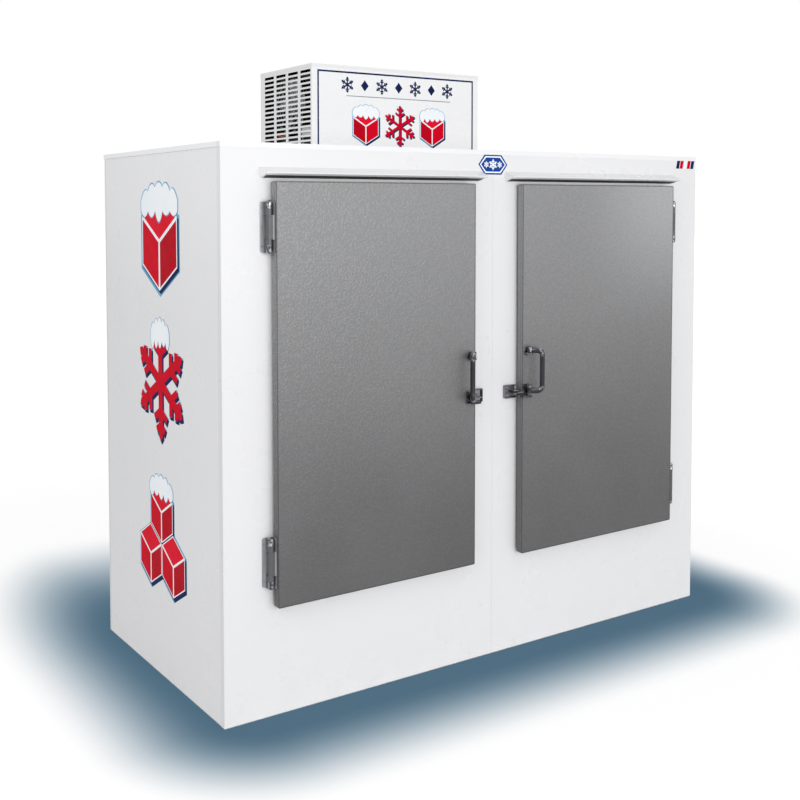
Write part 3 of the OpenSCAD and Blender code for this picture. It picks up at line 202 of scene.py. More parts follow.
def enamel(name, light, shade, roughness=0.3):
    """Glossy enamel over sheet: faint clouds, orange peel, and a patchy painted shade towards the floor."""
    g = Graph(name, roughness=roughness)
    cloud = g.noise(1.3, 2)
    dull = tuple(v * 0.86 for v in shade)
    patchy = g.ease(g.noise(9, 3), 0.3, 0.75)
    # Painted shade: patchy darkening in the lowest 0.2 m, towards the floor
    painted_low_shade = g.math("MULTIPLY", g.ease(g.axis(2), 0.2, 0.0), patchy, clamp=True)
    colour = g.mix(g.ease(cloud, 0.3, 0.7), shade, light)
    colour = g.mix(g.math("MULTIPLY", painted_low_shade, 0.2), colour, dull)
    # The front sheets' flanges, folded round the cabinet's corners
    outer = g.ease(g.math("ABSOLUTE", g.axis(0)), SIDE_X - 0.0015, SIDE_X - 0.0005)
    flange = g.math("MULTIPLY", outer, g.ease(g.axis(1), FLANGE_Y - 0.0005, FLANGE_Y + 0.0005, 0.55, 0.0))
    colour = g.mix(flange, colour, dull)
    rough = g.ease(g.noise(6, 3), 0.3, 0.7, roughness - 0.04, roughness + 0.06)
    return g.finish(colour, rough, g.bump(g.noise(2.2, 1), 0.1, 0.003))


def stucco():
    """Grey coating over stucco-embossed sheet, with painted light: darker towards the bottom and paler towards
    the top, a painted highlight on the right door, painted highlights and shade on the embossing, and painted
    shade at its folds.
    """
    g = Graph("stucco_grey", metallic=0.3)
    shift = g.add("ShaderNodeTexNoise", {"Vector": g.coord, "Scale": 60.0, "Detail": 1.0})
    small = g.add("ShaderNodeVectorMath", {0: shift.outputs["Color"], "Scale": 0.006}, operation="SCALE")
    warp = g.add("ShaderNodeVectorMath", {0: g.coord, 1: small.outputs[0]}, operation="ADD")
    pebble = g.ease(g.cells(135, warp.outputs[0]), 0.12, 0.62, 1.0, 0.0)
    grain = g.noise(190, 2, 0.6, 0.4)
    relief = g.math("ADD", g.math("MULTIPLY", pebble, 0.75), g.math("MULTIPLY", grain, 0.35))
    # Painted shade and light: the coating darker towards the bottom and paler towards the top
    high = g.ease(g.axis(2), 0.3, 2.0)
    tone = g.mix(high, rgb(96, 95, 96), rgb(150, 150, 151))
    # Painted highlight: the right door paler towards its top outer corner
    painted_sheen = g.math("MULTIPLY", g.ease(g.axis(0), 0.35, 1.0), g.ease(g.axis(2), 1.2, 1.9, 0.0, 0.75))
    tone = g.mix(painted_sheen, tone, rgb(190, 190, 192))
    tone = g.mix(g.ease(g.noise(1.6, 3), 0.3, 0.7, 0.0, 0.12), tone, rgb(150, 150, 151))
    # Painted highlight and shade: the embossing's crests are a little paler, more so high up, its hollows a
    # little darker
    painted_crest_light = g.math("MULTIPLY", g.ease(relief, 0.48, 0.98, 0.0, 0.1), g.ease(g.axis(2), 0.3, 1.6, 0.25, 1.0))
    tone = g.mix(painted_crest_light, tone, rgb(196, 197, 198))
    tone = g.mix(g.ease(relief, 0.42, 0.12, 0.0, 0.05), tone, rgb(70, 70, 72))
    # Distance to the door's edges, for painted shade along the face's edges, and a painted shade line on its
    # folded sides
    across = g.math("ABSOLUTE", g.axis(0))
    sides = [g.math("SUBTRACT", across, DOOR_X0), g.math("SUBTRACT", DOOR_X1, across),
             g.math("SUBTRACT", g.axis(2), DOOR_Z0), g.math("SUBTRACT", DOOR_Z1, g.axis(2))]
    near = g.math("MINIMUM", g.math("MINIMUM", *sides[:2]), g.math("MINIMUM", *sides[2:]))
    painted_edge_shade = g.ease(near, 0.002, 0.0056, 0.7, 0.0)
    front = g.ease(g.axis(1), DOOR_FACE + 0.0004, DOOR_FACE + 0.001, 1.0, 0.0)
    painted_hem_shade = g.ease(g.off(g.axis(1), DOOR_FACE + 0.0105), 0.0006, 0.0013, 0.5, 0.0)
    dark = g.math("ADD", g.math("MULTIPLY", painted_edge_shade, front), painted_hem_shade)
    tone = g.mix(dark, tone, rgb(58, 58, 60))
    rough = g.ease(relief, 0.2, 1.0, 0.5, 0.36)
    return g.finish(tone, rough, g.bump(relief, 0.6, 0.0012))


def metal_finish(name, light, shade, roughness, grain, brushed=(1, 1, 1), metallic=0.9, coat=0.0,
                 bump=0.1, scale=30, edge=0.0):
    """Metal with drifting tone, smudged roughness and fine grain along one direction."""
    g = Graph(name, metallic=metallic, roughness=roughness, Coat_Weight=coat, Coat_Roughness=0.12)
    colour = g.mix(g.ease(g.noise(scale, 4), 0.3, 0.7), shade, light)
    lines = g.noise(grain, 2, 0.6, 0.0, g.stretched(*brushed))
    rough = g.ease(g.noise(scale * 0.6, 3), 0.25, 0.75, roughness * 0.8, roughness * 1.25)
    normal = g.bump(lines, bump, 0.0003, g.round_edges(edge) if edge else None)
    return g.finish(colour, rough, normal)


def zinc():
    """Galvanised sheet with spangles."""
    g = Graph("zinc_spangle", metallic=0.7)
    flake = g.add("ShaderNodeTexVoronoi", {"Vector": g.coord, "Scale": 55.0}, feature="F1")
    tone = g.add("ShaderNodeSeparateColor", {0: flake.outputs["Color"]}).outputs[0]
    colour = g.mix(g.math("MULTIPLY", tone, 0.8), rgb(164, 169, 173), rgb(194, 198, 201))
    rough = g.ease(tone, 0.0, 1.0, 0.38, 0.55)
    return g.finish(colour, rough, g.bump(g.noise(160, 2), 0.06, 0.0003))


def foam():
    """Cut polyurethane foam with pores and a yellow drift."""
    g = Graph("foam_yellow", roughness=0.9)
    pores = g.cells(620)
    colour = g.mix(g.ease(g.noise(9, 4), 0.3, 0.7), rgb(214, 200, 150), rgb(233, 222, 182))
    colour = g.mix(g.ease(pores, 0.2, 0.6, 0.25, 0.0), colour, rgb(186, 168, 112))
    return g.finish(colour, None, g.bump(pores, 0.5, 0.0008))


def plastic(name, light, shade, roughness, texture, bump=0.15, specular=0.5, scale=12):
    """Moulded plastic or rubber: fine texture, slight clouds and scuffs."""
    g = Graph(name, roughness=roughness, Specular_IOR_Level=specular)
    colour = g.mix(g.ease(g.noise(scale, 4), 0.3, 0.7), shade, light)
    scuff = g.ease(g.noise(scale * 3, 5, 0.7), 0.45, 0.8)
    rough = g.ease(scuff, 0, 1, roughness - 0.06, roughness + 0.1)
    return g.finish(colour, rough, g.bump(g.noise(texture, 2), bump, 0.0003, g.round_edges(0.0006)))


def fins():
    """Aluminium fins: thin bright blades with painted shade for the dark gaps between them."""
    g = Graph("coil_fins", metallic=0.85)
    wave = g.add("ShaderNodeTexWave", {"Vector": g.coord, "Scale": 170.0, "Distortion": 0.6,
                 "Detail": 2.0}, wave_type="BANDS", bands_direction="DIAGONAL")
    blade = g.ease(wave.outputs["Fac"], 0.25, 0.75)
    colour = g.mix(blade, rgb(92, 95, 98), rgb(196, 200, 203))
    return g.finish(colour, g.ease(blade, 0, 1, 0.55, 0.34), g.bump(blade, 0.4, 0.0006))


def vinyl(name, light, shade, roughness=0.4, glow=0.0):
    """Printed film with faint mottling of the ink and a soft gloss; a glow, where given, is painted light."""
    g = Graph(name, roughness=roughness, IOR=1.1, Emission_Color=(1.0, 1.0, 1.0),
              Emission_Strength=glow)
    colour = g.mix(g.ease(g.noise(7, 2), 0.3, 0.7), shade, light)
    rough = g.ease(g.noise(20, 3), 0.3, 0.7, roughness - 0.05, roughness + 0.06)
    return g.finish(colour, rough, g.bump(g.noise(9, 1), 0.08, 0.001))


def hinge_leaf(name, pale, dark):
    """Satin hinge metal with drawn streaks, with painted shade on the barrel and a painted shadow line along the
    door leaf's front edge.
    """
    g = Graph(name, metallic=0.25)
    streak = g.noise(70, 3, 0.6, 0.0, g.stretched(1, 1, 0.04))
    tone = g.mix(g.ease(streak, 0.3, 0.7), dark, pale)
    off = g.off(g.math("ABSOLUTE", g.axis(0)), HINGE_X)
    # Painted shade: the barrel darker
    barrel = g.math("MULTIPLY", g.ease(off, 0.0104, 0.0108, 1.0, 0.0),
                    g.ease(g.axis(1), WALL_Y - 0.0037, WALL_Y - 0.004, 0.0, 1.0))
    tone = g.mix(g.math("MULTIPLY", barrel, 0.9), tone, rgb(86, 86, 89))
    # Painted shadow: a dark line along the door leaf's front edge
    edge = g.ease(g.off(g.axis(1), DOOR_FACE + 0.0026), 0.0006, 0.0014, 1.0, 0.0)
    tone = g.mix(g.math("MULTIPLY", edge, 0.85), tone, rgb(44, 44, 47))
    rough = g.ease(g.noise(30, 3), 0.25, 0.75, 0.3, 0.44)
    return g.finish(tone, rough, g.bump(streak, 0.1, 0.0003, g.round_edges(0.0015)))


def forged_chrome(name, pale, dark):
    """Dark chrome with painted reflections: pale upper sides, as under a bright ceiling, mottled pale patches on
    the arms, and painted shade on the undersides.
    """
    g = Graph(name, metallic=1.0, Coat_Weight=0.6, Coat_Roughness=0.1)
    normal = g.add("ShaderNodeTexCoord").outputs["Normal"]
    # Painted reflection on the upper sides, painted shade on the undersides
    up = g.add("ShaderNodeSeparateXYZ", {0: normal}).outputs[2]
    ends = g.ease(g.off(g.axis(2), HANDLE_Z), 0.052, 0.066)
    # Painted reflections: mottled pale patches on the upper and lower arms
    painted_glint = g.math("MULTIPLY", g.ease(g.noise(42, 2, 0.5, 0.8), 0.5, 0.66), ends)
    tone = g.mix(painted_glint, dark, tuple((a + 2 * b) / 3 for a, b in zip(pale, dark)))
    tone = g.mix(g.math("MULTIPLY", g.ease(up, 0.5, 0.9), g.ease(painted_glint, 0, 1, 0.55, 1.0)), tone, pale)
    tone = g.mix(g.ease(up, -0.35, -0.75, 0.0, 0.7), tone, tuple(v * 0.4 for v in dark))
    rough = g.ease(g.noise(24, 3), 0.25, 0.75, 0.12, 0.2)
    return g.finish(tone, rough, g.bump(g.noise(260, 2), 0.06, 0.0003, g.round_edges(0.0012)))


def strike_metal():
    """Bright strike with a painted shade line round its recess."""
    g = Graph("strike_chrome", metallic=0.9, Coat_Weight=0.5, Coat_Roughness=0.12)
    across = g.off(g.math("ABSOLUTE", g.axis(0)), STRIKE_X)
    high = g.off(g.axis(2), LATCH_Z)
    inside = g.math("MINIMUM", g.math("SUBTRACT", STRIKE_HALF[0], across),
                    g.math("SUBTRACT", STRIKE_HALF[1], high))
    # Painted shade: a dark line round the recess's edge
    line = g.ease(g.math("ABSOLUTE", inside), 0.0008, 0.0018, 1.0, 0.0)
    tone = g.mix(g.ease(g.noise(60, 3), 0.3, 0.7), rgb(96, 93, 99), rgb(142, 140, 145))
    tone = g.mix(g.ease(inside, 0.001, 0.003, 0.0, 0.5), tone, rgb(176, 175, 179))
    tone = g.mix(g.math("MULTIPLY", line, 0.85), tone, rgb(40, 38, 43))
    rough = g.ease(g.noise(36, 3), 0.25, 0.75, 0.18, 0.28)
    return g.finish(tone, rough, g.bump(g.noise(260, 2), 0.06, 0.0003, g.round_edges(0.0012)))


def guard_and_shroud():
    """Black enamel box; the wires of the guard across its mouth are bright."""
    g = Graph("shroud_and_guard", Specular_IOR_Level=0.3)
    ring = [g.math("POWER", g.math("SUBTRACT", g.axis(k), at), 2.0) for k, at in ((1, FAN_Y), (2, FAN_Z))]
    inside = g.ease(g.math("SQRT", g.math("ADD", *ring)), FAN_MOUTH_R - 0.0002, FAN_MOUTH_R + 0.0002, 1.0, 0.0)
    wire = g.math("MULTIPLY", inside, g.ease(g.axis(0), -0.4296, -0.4292, 1.0, 0.0))
    black = g.mix(g.ease(g.noise(12, 4), 0.3, 0.7), rgb(20, 21, 24), rgb(30, 31, 34))
    bright = g.mix(g.ease(g.noise(60, 3), 0.3, 0.7), rgb(158, 161, 165), rgb(186, 189, 192))
    g.put(g.shader, "Metallic", g.math("MULTIPLY", wire, 0.6))
    rough = g.math("ADD", g.ease(g.noise(30, 3), 0.3, 0.7, 0.26, 0.36), 0.02)
    return g.finish(g.mix(wire, black, bright), rough, g.bump(g.noise(260, 2), 0.06, 0.0003))


WHITE = enamel("white_enamel", rgb(243, 243, 244), rgb(241, 241, 242))
STUCCO = stucco()
CHROME = forged_chrome("dark_chrome", rgb(206, 205, 208), rgb(66, 62, 68))
PLATE = metal_finish("plate_chrome", rgb(146, 144, 149), rgb(92, 89, 95), 0.2, 260, metallic=0.9,
                     coat=0.5, bump=0.06, scale=60, edge=0.0012)
BRIGHT = metal_finish("bright_zinc", rgb(206, 208, 211), rgb(176, 179, 183), 0.26, 300,
                      metallic=1.0, scale=60, edge=0.0008)
HINGE = hinge_leaf("hinge_satin", rgb(196, 197, 199), rgb(156, 157, 160))
# Painted shade: a darker copy of the hinge metal, for the door leaves and the hinge screws
HINGE_SHADED = hinge_leaf("hinge_door_leaf", rgb(176, 177, 179), rgb(146, 146, 149))
RUBBER = plastic("black_rubber", rgb(42, 43, 46), rgb(28, 29, 32), 0.62, 700)
BLACK = plastic("black_plastic", rgb(46, 47, 51), rgb(33, 34, 38), 0.5, 500)
LINING = plastic("black_lining", rgb(26, 27, 29), rgb(17, 18, 20), 0.9, 900, 0.3, 0.2)
SLOT_FINISH = {
    "white_sheet": WHITE,
    "sign_sheet": enamel("sign_enamel", rgb(250, 250, 251), rgb(248, 249, 250), 0.26),
    "foam": foam(),
    "liner": plastic("liner_white", rgb(235, 236, 238), rgb(231, 233, 235), 0.34, 300, 0.03, 0.4, 3),
    "zinc_sheet": zinc(),
    "aluminium_sheet": metal_finish("mill_aluminium", rgb(202, 205, 208), rgb(182, 186, 190), 0.36,
                                    320, (1, 0.1, 1), metallic=0.85),
    "rack_aluminium": metal_finish("rack_aluminium", rgb(198, 201, 204), rgb(176, 180, 184), 0.4,
                                   380, (0.06, 1, 1), metallic=0.85, edge=0.0012),
    "stucco_sheet": STUCCO,
    "black_rubber": RUBBER,
    "hinge_metal": HINGE,
    "pin_steel": metal_finish("pin_steel", rgb(196, 199, 202), rgb(170, 173, 177), 0.28, 420,
                              (1, 1, 0.1), metallic=1.0, edge=0.0006),
    "dark_chrome": CHROME,
    "black_enamel": plastic("black_enamel", rgb(40, 41, 45), rgb(28, 29, 33), 0.36, 260, 0.06, 0.4),
    "coil_fins": fins(),
    "fan_aluminium": metal_finish("fan_aluminium", rgb(204, 206, 209), rgb(184, 187, 190), 0.34,
                                  300, (1, 0.2, 0.2), metallic=0.9),
    "copper_tube": metal_finish("copper_tube", rgb(204, 130, 88), rgb(164, 96, 62), 0.3, 200,
                                metallic=1.0, scale=34),
    "black_plastic": BLACK,
}
NODE_FINISH = {
    "top_cap": enamel("cap_enamel", rgb(250, 250, 251), rgb(248, 249, 250)),
    "hinge_door_leaves_left": HINGE_SHADED,
    "hinge_door_leaves_right": HINGE_SHADED,
    "fan_shroud": guard_and_shroud(),
    "latch_strikes": strike_metal(),
    "latch_body_left": PLATE,
    "latch_body_right": PLATE,
    "handle_bracket_left": PLATE,
    "handle_bracket_right": PLATE,
}

for part in frame["record"]["subparts"]:
    mesh = nodes[part["node"]].data
    mesh.materials.clear()
    mesh.materials.append(NODE_FINISH.get(part["node"], SLOT_FINISH[part["material_slot"]]))

# ---- Stage: floor, world and lamps ----


FLOOR_SIZE = 60
FLOOR_GLOW = 0.75
SHADOW_PAINT_TINT = (84 / 255, 111 / 255, 130 / 255)
# The painted shadow's core as (axis, low, high, slope behind it), and where it fades and turns to pure glow
SHADOW_PAINT_CORE = ((0, -1.039, 1.137, 1.0), (1, -0.466, 0.311, 0.418))
SHADOW_PAINT_FADE = (0.656, 0.157)
GLOW_FADE = (0.6, 2.4)
WORLD_LIGHT = 0.62


def make_floor():
    """White floor: seen by the camera it has a blue-grey painted shadow round the cabinet's foot."""
    a = FLOOR_SIZE
    mesh = bpy.data.meshes.new("floor")
    mesh.from_pydata([(-a, -a, 0), (a, -a, 0), (a, a, 0), (-a, a, 0)], [], [(0, 1, 2, 3)])
    floor = bpy.data.objects.new("floor", mesh)
    show(floor)
    g = Graph("floor")
    parts = []
    for axis, low, high, slope in SHADOW_PAINT_CORE:
        below = g.math("SUBTRACT", low, g.axis(axis))
        above = g.math("MULTIPLY", g.math("SUBTRACT", g.axis(axis), high), slope)
        away = g.math("MAXIMUM", g.math("MAXIMUM", below, above), 0.0)
        parts.append(g.math("POWER", away, 2.0))
    away = g.math("SQRT", g.math("ADD", *parts))
    shadow_paint = g.mix(g.ease(away, *SHADOW_PAINT_FADE), (1.0, 1.0, 1.0), SHADOW_PAINT_TINT)
    tint = g.add("ShaderNodeGamma", {"Color": shadow_paint, "Gamma": 2.25}).outputs[0]
    seen = g.add("ShaderNodeBsdfDiffuse", {"Color": tint})
    glow = g.add("ShaderNodeEmission", {"Color": tint, "Strength": 1.08})
    share = g.ease(away, *GLOW_FADE, FLOOR_GLOW, 1.0)
    both = g.add("ShaderNodeMixShader", {0: share, 1: seen.outputs[0], 2: glow.outputs[0]})
    plain = g.add("ShaderNodeBsdfDiffuse", {"Color": (0.84, 0.85, 0.86)})
    ray = g.add("ShaderNodeLightPath").outputs["Is Camera Ray"]
    last = g.add("ShaderNodeMixShader", {0: ray, 1: plain.outputs[0], 2: both.outputs[0]})
    g.tree.links.new(last.outputs[0], g.tree.nodes["Material Output"].inputs["Surface"])
    mesh.materials.append(g.mat)


def make_world(lighting):
    """White world; camera, glossy and transmission rays see it at full white."""
    world = bpy.data.worlds.new("world")
    bpy.context.scene.world = world
    world.use_nodes = True
    tree = world.node_tree
    back = tree.nodes["Background"]
    back.inputs["Color"].default_value = (1, 1, 1, 1)
    path = tree.nodes.new("ShaderNodeLightPath")
    most = path.outputs["Is Camera Ray"]
    for name in ("Is Glossy Ray", "Is Transmission Ray"):
        node = tree.nodes.new("ShaderNodeMath")
        node.operation = "MAXIMUM"
        tree.links.new(most, node.inputs[0])
        tree.links.new(path.outputs[name], node.inputs[1])
        most = node.outputs[0]
    level = tree.nodes.new("ShaderNodeMapRange")
    tree.links.new(most, level.inputs["Value"])
    level.inputs["To Min"].default_value = lighting
    level.inputs["To Max"].default_value = 1
    tree.links.new(level.outputs["Result"], back.inputs["Strength"])


def make_lamp(name, place, aim, size, watts):
    """Rectangular area lamp that looks at a point."""
    data = bpy.data.lights.new(name, "AREA")
    data.shape = "RECTANGLE"
    data.size, data.size_y = size
    data.energy = watts
    lamp = bpy.data.objects.new(name, data)
    lamp.location = place
    lamp.rotation_mode = "QUATERNION"
    lamp.rotation_quaternion = (Vector(aim) - Vector(place)).to_track_quat("-Z", "Y")
    show(lamp)


make_floor()
make_world(WORLD_LIGHT)
make_lamp("key", (-0.2, -7.0, 2.2), (0, 0, 1.0), (5, 3), 140)
make_lamp("side", (-4.4, -1.9, 3.3), (-1, -0.2, 1.4), (2.2, 2.2), 36)

# ---- Mesh helpers ----


def carry(made, body):
    """Show a new piece, riding on a body."""
    show(made)
    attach(made, body)
    return made


def piece(name, verts, faces, material, body, smooth=False):
    """New mesh piece that rides on a body."""
    mesh = bpy.data.meshes.new(name)
    mesh.from_pydata([tuple(v) for v in verts], [], faces)
    mesh.validate()
    mesh.materials.append(material)
    if smooth:
        mesh.polygons.foreach_set("use_smooth", [True] * len(mesh.polygons))
    return carry(bpy.data.objects.new(name, mesh), body)


class Build:
    """Vertices and faces of one piece, gathered from several solids."""

    def __init__(self):
        self.verts, self.faces = [], []

    def take(self, verts, faces, place=None):
        start = len(self.verts)
        self.verts += [place @ Vector(v) if place else Vector(v) for v in verts]
        self.faces += [tuple(start + i for i in f) for f in faces]

    def lathe(self, profile, place, sides=24):
        """Turned solid from (radius, height) points; it starts and ends on the axis."""
        verts, faces, rings = [], [], []
        for r, z in profile:
            if r == 0:
                rings.append([len(verts)] * sides)
                verts.append((0, 0, z))
            else:
                rings.append(list(range(len(verts), len(verts) + sides)))
                turns = [2 * math.pi * k / sides for k in range(sides)]
                verts += [(r * math.cos(a), r * math.sin(a), z) for a in turns]
        for low, high in zip(rings, rings[1:]):
            for k in range(sides):
                quad = [low[k], low[(k + 1) % sides], high[(k + 1) % sides], high[k]]
                faces.append(tuple(dict.fromkeys(quad)))
        self.take(verts, [f for f in faces if len(f) > 2], place)

    def prism(self, outline, length, place):
        """Extruded outline in X and Y, along +Z."""
        n = len(outline)
        verts = [(x, y, 0) for x, y in outline] + [(x, y, length) for x, y in outline]
        faces = [(k, (k + 1) % n, n + (k + 1) % n, n + k) for k in range(n)]
        tris = tessellate_polygon([[Vector((x, y, 0)) for x, y in outline]])
        faces += [(a, c, b) for a, b, c in tris] + [(n + a, n + b, n + c) for a, b, c in tris]
        self.take(verts, faces, place)

    def bar(self, lo, hi, edge=0.0008):
        """Long strip between two corners, with chamfered long edges."""
        size = [b - a for a, b in zip(lo, hi)]
        k = size.index(max(size))
        i, j = [a for a in range(3) if a != k]
        c = min(edge, size[i] / 3, size[j] / 3)
        a, b = size[i], size[j]
        ring = [(c, 0), (a - c, 0), (a, c), (a, b - c), (a - c, b), (c, b), (0, b - c), (0, c)]
        turn = Matrix.Identity(3)
        for row, col in ((i, 0), (j, 1), (k, 2)):
            for other in range(3):
                turn[other][col] = 1.0 if other == row else 0.0
        self.prism(ring, size[k], Matrix.Translation(lo) @ turn.to_4x4())

    def hoop(self, radius, wire, place, sides=48, rim=8):
        """Closed ring of round wire about +Z."""
        verts, faces = [], []
        for k in range(sides):
            a = 2 * math.pi * k / sides
            for i in range(rim):
                b = 2 * math.pi * i / rim
                r = radius + wire * math.cos(b)
                verts.append((r * math.cos(a), r * math.sin(a), wire * math.sin(b)))
                j, m = (k + 1) % sides, (i + 1) % rim
                faces.append((k * rim + i, j * rim + i, j * rim + m, k * rim + m))
        self.take(verts, faces, place)

    def done(self, name, material, body, slot, smooth=False):
        made = piece(name, self.verts, self.faces, material, body, smooth)
        if smooth:
            made.data.set_sharp_from_angle(angle=math.radians(38))
        return made


def facing(axis, at):
    """Place whose +Z looks along an axis."""
    return Matrix.Translation(at) @ Vector(axis).to_track_quat("Z", "Y").to_matrix().to_4x4()


# Screw heads as (radius, height) points for a radius of 1
PAN_HEAD = [(0, 0.42), (0.3, 0.42), (0.34, 0.3), (0.5, 0.3), (0.62, 0.42), (0.82, 0.34), (0.97, 0.16),
            (1, 0), (0, 0)]
HEX_WASHER = [(0, 0.62), (0.5, 0.62), (0.6, 0.55), (0.62, 0.18), (0.94, 0.14), (1, 0.04), (1, 0), (0, 0)]
FLAT_HEAD = [(0, 0.12), (0.22, 0.12), (0.3, 0.02), (0.4, 0.14), (0.9, 0.2), (1, 0.06), (1, 0), (0, 0)]


def heads(name, spots, axis, r, body, slot, material, profile=PAN_HEAD):
    """Screw heads of one radius on a flat face."""
    build = Build()
    for at in spots:
        build.lathe([(a * r, b * r) for a, b in reversed(profile)], facing(axis, at), 20)
    return build.done(name, material, body, slot, True)


def tube(name, points, r, body, material):
    """Smooth tube through points."""
    curve = bpy.data.curves.new(name, "CURVE")
    curve.dimensions = "3D"
    curve.bevel_depth = r
    curve.bevel_resolution = 4
    curve.use_fill_caps = True
    spline = curve.splines.new("BEZIER")
    spline.bezier_points.add(len(points) - 1)
    for knot, at in zip(spline.bezier_points, points):
        knot.co = at
        knot.handle_left_type = knot.handle_right_type = "AUTO"
    curve.materials.append(material)
    carry(bpy.data.objects.new(name, curve), body)


# ---- Printed film ----

NAVY = vinyl("film_navy", rgb(30, 42, 92), rgb(24, 34, 80))
RED = vinyl("film_red", rgb(221, 4, 38), rgb(213, 3, 34))
RED_DARK = vinyl("film_red_dark", rgb(194, 4, 32), rgb(186, 3, 28))
RED_PALE = vinyl("film_red_pale", rgb(236, 22, 50), rgb(229, 16, 44))
PALE_BLUE = vinyl("film_pale_blue", rgb(118, 184, 220), rgb(100, 168, 208))
# Painted light: the snow film glows faintly, brighter than its lamps light it
SNOW = vinyl("film_snow", rgb(248, 251, 254), rgb(240, 247, 252), glow=0.07)
BLUE = vinyl("film_blue", rgb(28, 74, 158), rgb(20, 60, 140))
GREY = vinyl("film_grey", rgb(150, 158, 170), rgb(138, 146, 160))
FILM = 0.00014


class Film:
    """Flat prints on one face: each layer is a set of outlines a film's thickness above the last."""

    def __init__(self, origin, across, up, out):
        self.origin, self.across, self.up, self.out = map(Vector, (origin, across, up, out))
        self.layers = {}

    def add(self, material, level, outline):
        self.layers.setdefault((level, material.name), (material, []))[1].append(outline)

    def done(self, name, body, slot):
        for (level, _), (material, outlines) in sorted(self.layers.items(), key=lambda i: i[0]):
            verts, faces = [], []
            for outline in outlines:
                start = len(verts)
                lift = self.out * FILM * (level + 1)
                verts += [self.origin + self.across * u + self.up * v + lift for u, v in outline]
                for corners in tessellate_polygon([[Vector((u, v, 0)) for u, v in outline]]):
                    tri = tuple(start + i for i in corners)
                    a, b, c = (verts[i] for i in tri)
                    normal = (b - a).cross(c - a)
                    faces.append(tri if normal.dot(self.out) > 0 else tri[::-1])
            ink = material.name.removeprefix("film_")
            piece(f"{name}_{ink}_{level}", verts, faces, material, body)


def turned(outline, angle):
    """Outline turned about the origin."""
    c, s = math.cos(angle), math.sin(angle)
    return [(x * c - y * s, x * s + y * c) for x, y in outline]


def flake_outline(r, w, twigs, grow=0.0):
    """Six-armed snow crystal as one outline; grow widens it on every side."""
    s, t = math.sin(math.radians(60)), math.cos(math.radians(60))
    h = w / 2 + grow
    q = w * 0.38 + grow
    side = [(h, h / math.tan(math.radians(30)))]
    for at, length in twigs:
        base, reach = at * r, length * r + grow
        side += [(h, base - q * s + (h - q * t) / s * t),
                 (reach * s + q * t, base + reach * t - q * s),
                 (reach * s - q * t, base + reach * t + q * s),
                 (h, base + q * s + (h + q * t) / s * t)]
    arm = side + [(h, r - h * 0.5 + grow), (0, r + h * 0.5 + grow)]
    arm += [(-x, y) for x, y in reversed(arm[:-1])]
    return [p for k in range(6) for p in turned(arm[:-1], math.radians(60 * k))]


def hexagon(r):
    """Hexagon that stands on a corner."""
    turns = [math.radians(30 + 60 * k) for k in range(6)]
    return [(r * math.cos(a), r * math.sin(a)) for a in turns]


def moved(outline, dx, dy):
    """Outline shifted in its plane."""
    return [(x + dx, y + dy) for x, y in outline]


def snow_outline(x0, x1, low, top, seed, grow=0.0):
    """Heap of snow: round bumps on top and hanging tongues below."""
    rng = random.Random(seed)
    n = drips = 5
    bumps = [0.7 + 0.3 * rng.random() for _ in range(n)]
    tongues = [0.35 + 0.65 * rng.random() for _ in range(drips)]
    points = []
    for k in range(n * 8 + 1):
        t = k / (n * 8)
        dome = math.sin(math.pi * min(max(t, 0.02), 0.98)) ** 0.55
        bump = abs(math.sin(math.pi * n * t)) ** 0.7 * 0.22 * bumps[min(int(t * n), n - 1)]
        points.append((x1 - (x1 - x0) * t, low + (top - low) * (0.25 + 0.62 * dome + bump) * 0.92))
    for k in range(drips * 8 + 1):
        t = k / (drips * 8)
        tongue = abs(math.sin(math.pi * drips * t)) ** 0.8 * tongues[min(int(t * drips), drips - 1)]
        points.append((x0 + (x1 - x0) * t, low - (top - low) * 0.42 * tongue))
    if grow:
        cx, cy = (x0 + x1) / 2, low + (top - low) * 0.3
        fx, fy = 1 + 2 * grow / (x1 - x0), 1 + 2 * grow / ((top - low) * 1.4)
        points = [(cx + (x - cx) * fx, cy + (y - cy) * fy) for x, y in points]
    clean = []
    for p in points:
        if not clean or math.dist(p, clean[-1]) > 1e-4:
            clean.append(p)
    return clean


def snow_cap(film, x, half, low, top, seed, edge):
    """Heap of snow with a pale blue edge."""
    film.add(PALE_BLUE, 4, snow_outline(x - half, x + half, low, top, seed, edge))
    film.add(SNOW, 5, snow_outline(x - half, x + half, low, top, seed))


def ice_cube(film, at, r, shade, seed, snow=True):
    """Block of ice seen from a corner: three faces with pale joints, a navy shadow and snow on top."""
    key = r * 0.045
    film.add(PALE_BLUE, 0, moved(hexagon(r + 2.2 * key), at[0] + shade[0] / 2, at[1] + shade[1] / 2))
    film.add(NAVY, 1, moved(hexagon(r + key * 0.4), at[0] + shade[0], at[1] + shade[1]))
    film.add(SNOW, 2, moved(hexagon(r), *at))
    corners = hexagon(r)
    shrink = 1 - 0.035 * 2.4
    for k, material in ((0, RED_PALE), (1, RED_DARK), (2, RED)):
        face = [(0, 0)] + [corners[(2 * k + i) % 6] for i in range(3)]
        mx, my = sum(p[0] for p in face) / 4, sum(p[1] for p in face) / 4
        small = [(mx + (x - mx) * shrink, my + (y - my) * shrink) for x, y in face]
        film.add(material, 3, moved(small, *at))
    if snow:
        snow_cap(film, at[0], r * 0.9, at[1] + r * 0.62, at[1] + r * 1.22, seed, r * 0.03)


TWIGS = ((0.5, 0.3), (0.76, 0.2))


def snow_crystal(film, at, r, shade, w=0.12):
    """Snow crystal with a navy shadow and a pale keyline."""
    for material, level, grow, share in ((PALE_BLUE, 0, 0.02, 0.5), (NAVY, 1, 0.008, 1), (RED, 2, 0, 0)):
        film.add(material, level, moved(flake_outline(r, w * r, TWIGS, r * grow),
                                        at[0] + shade[0] * share, at[1] + shade[1] * share))


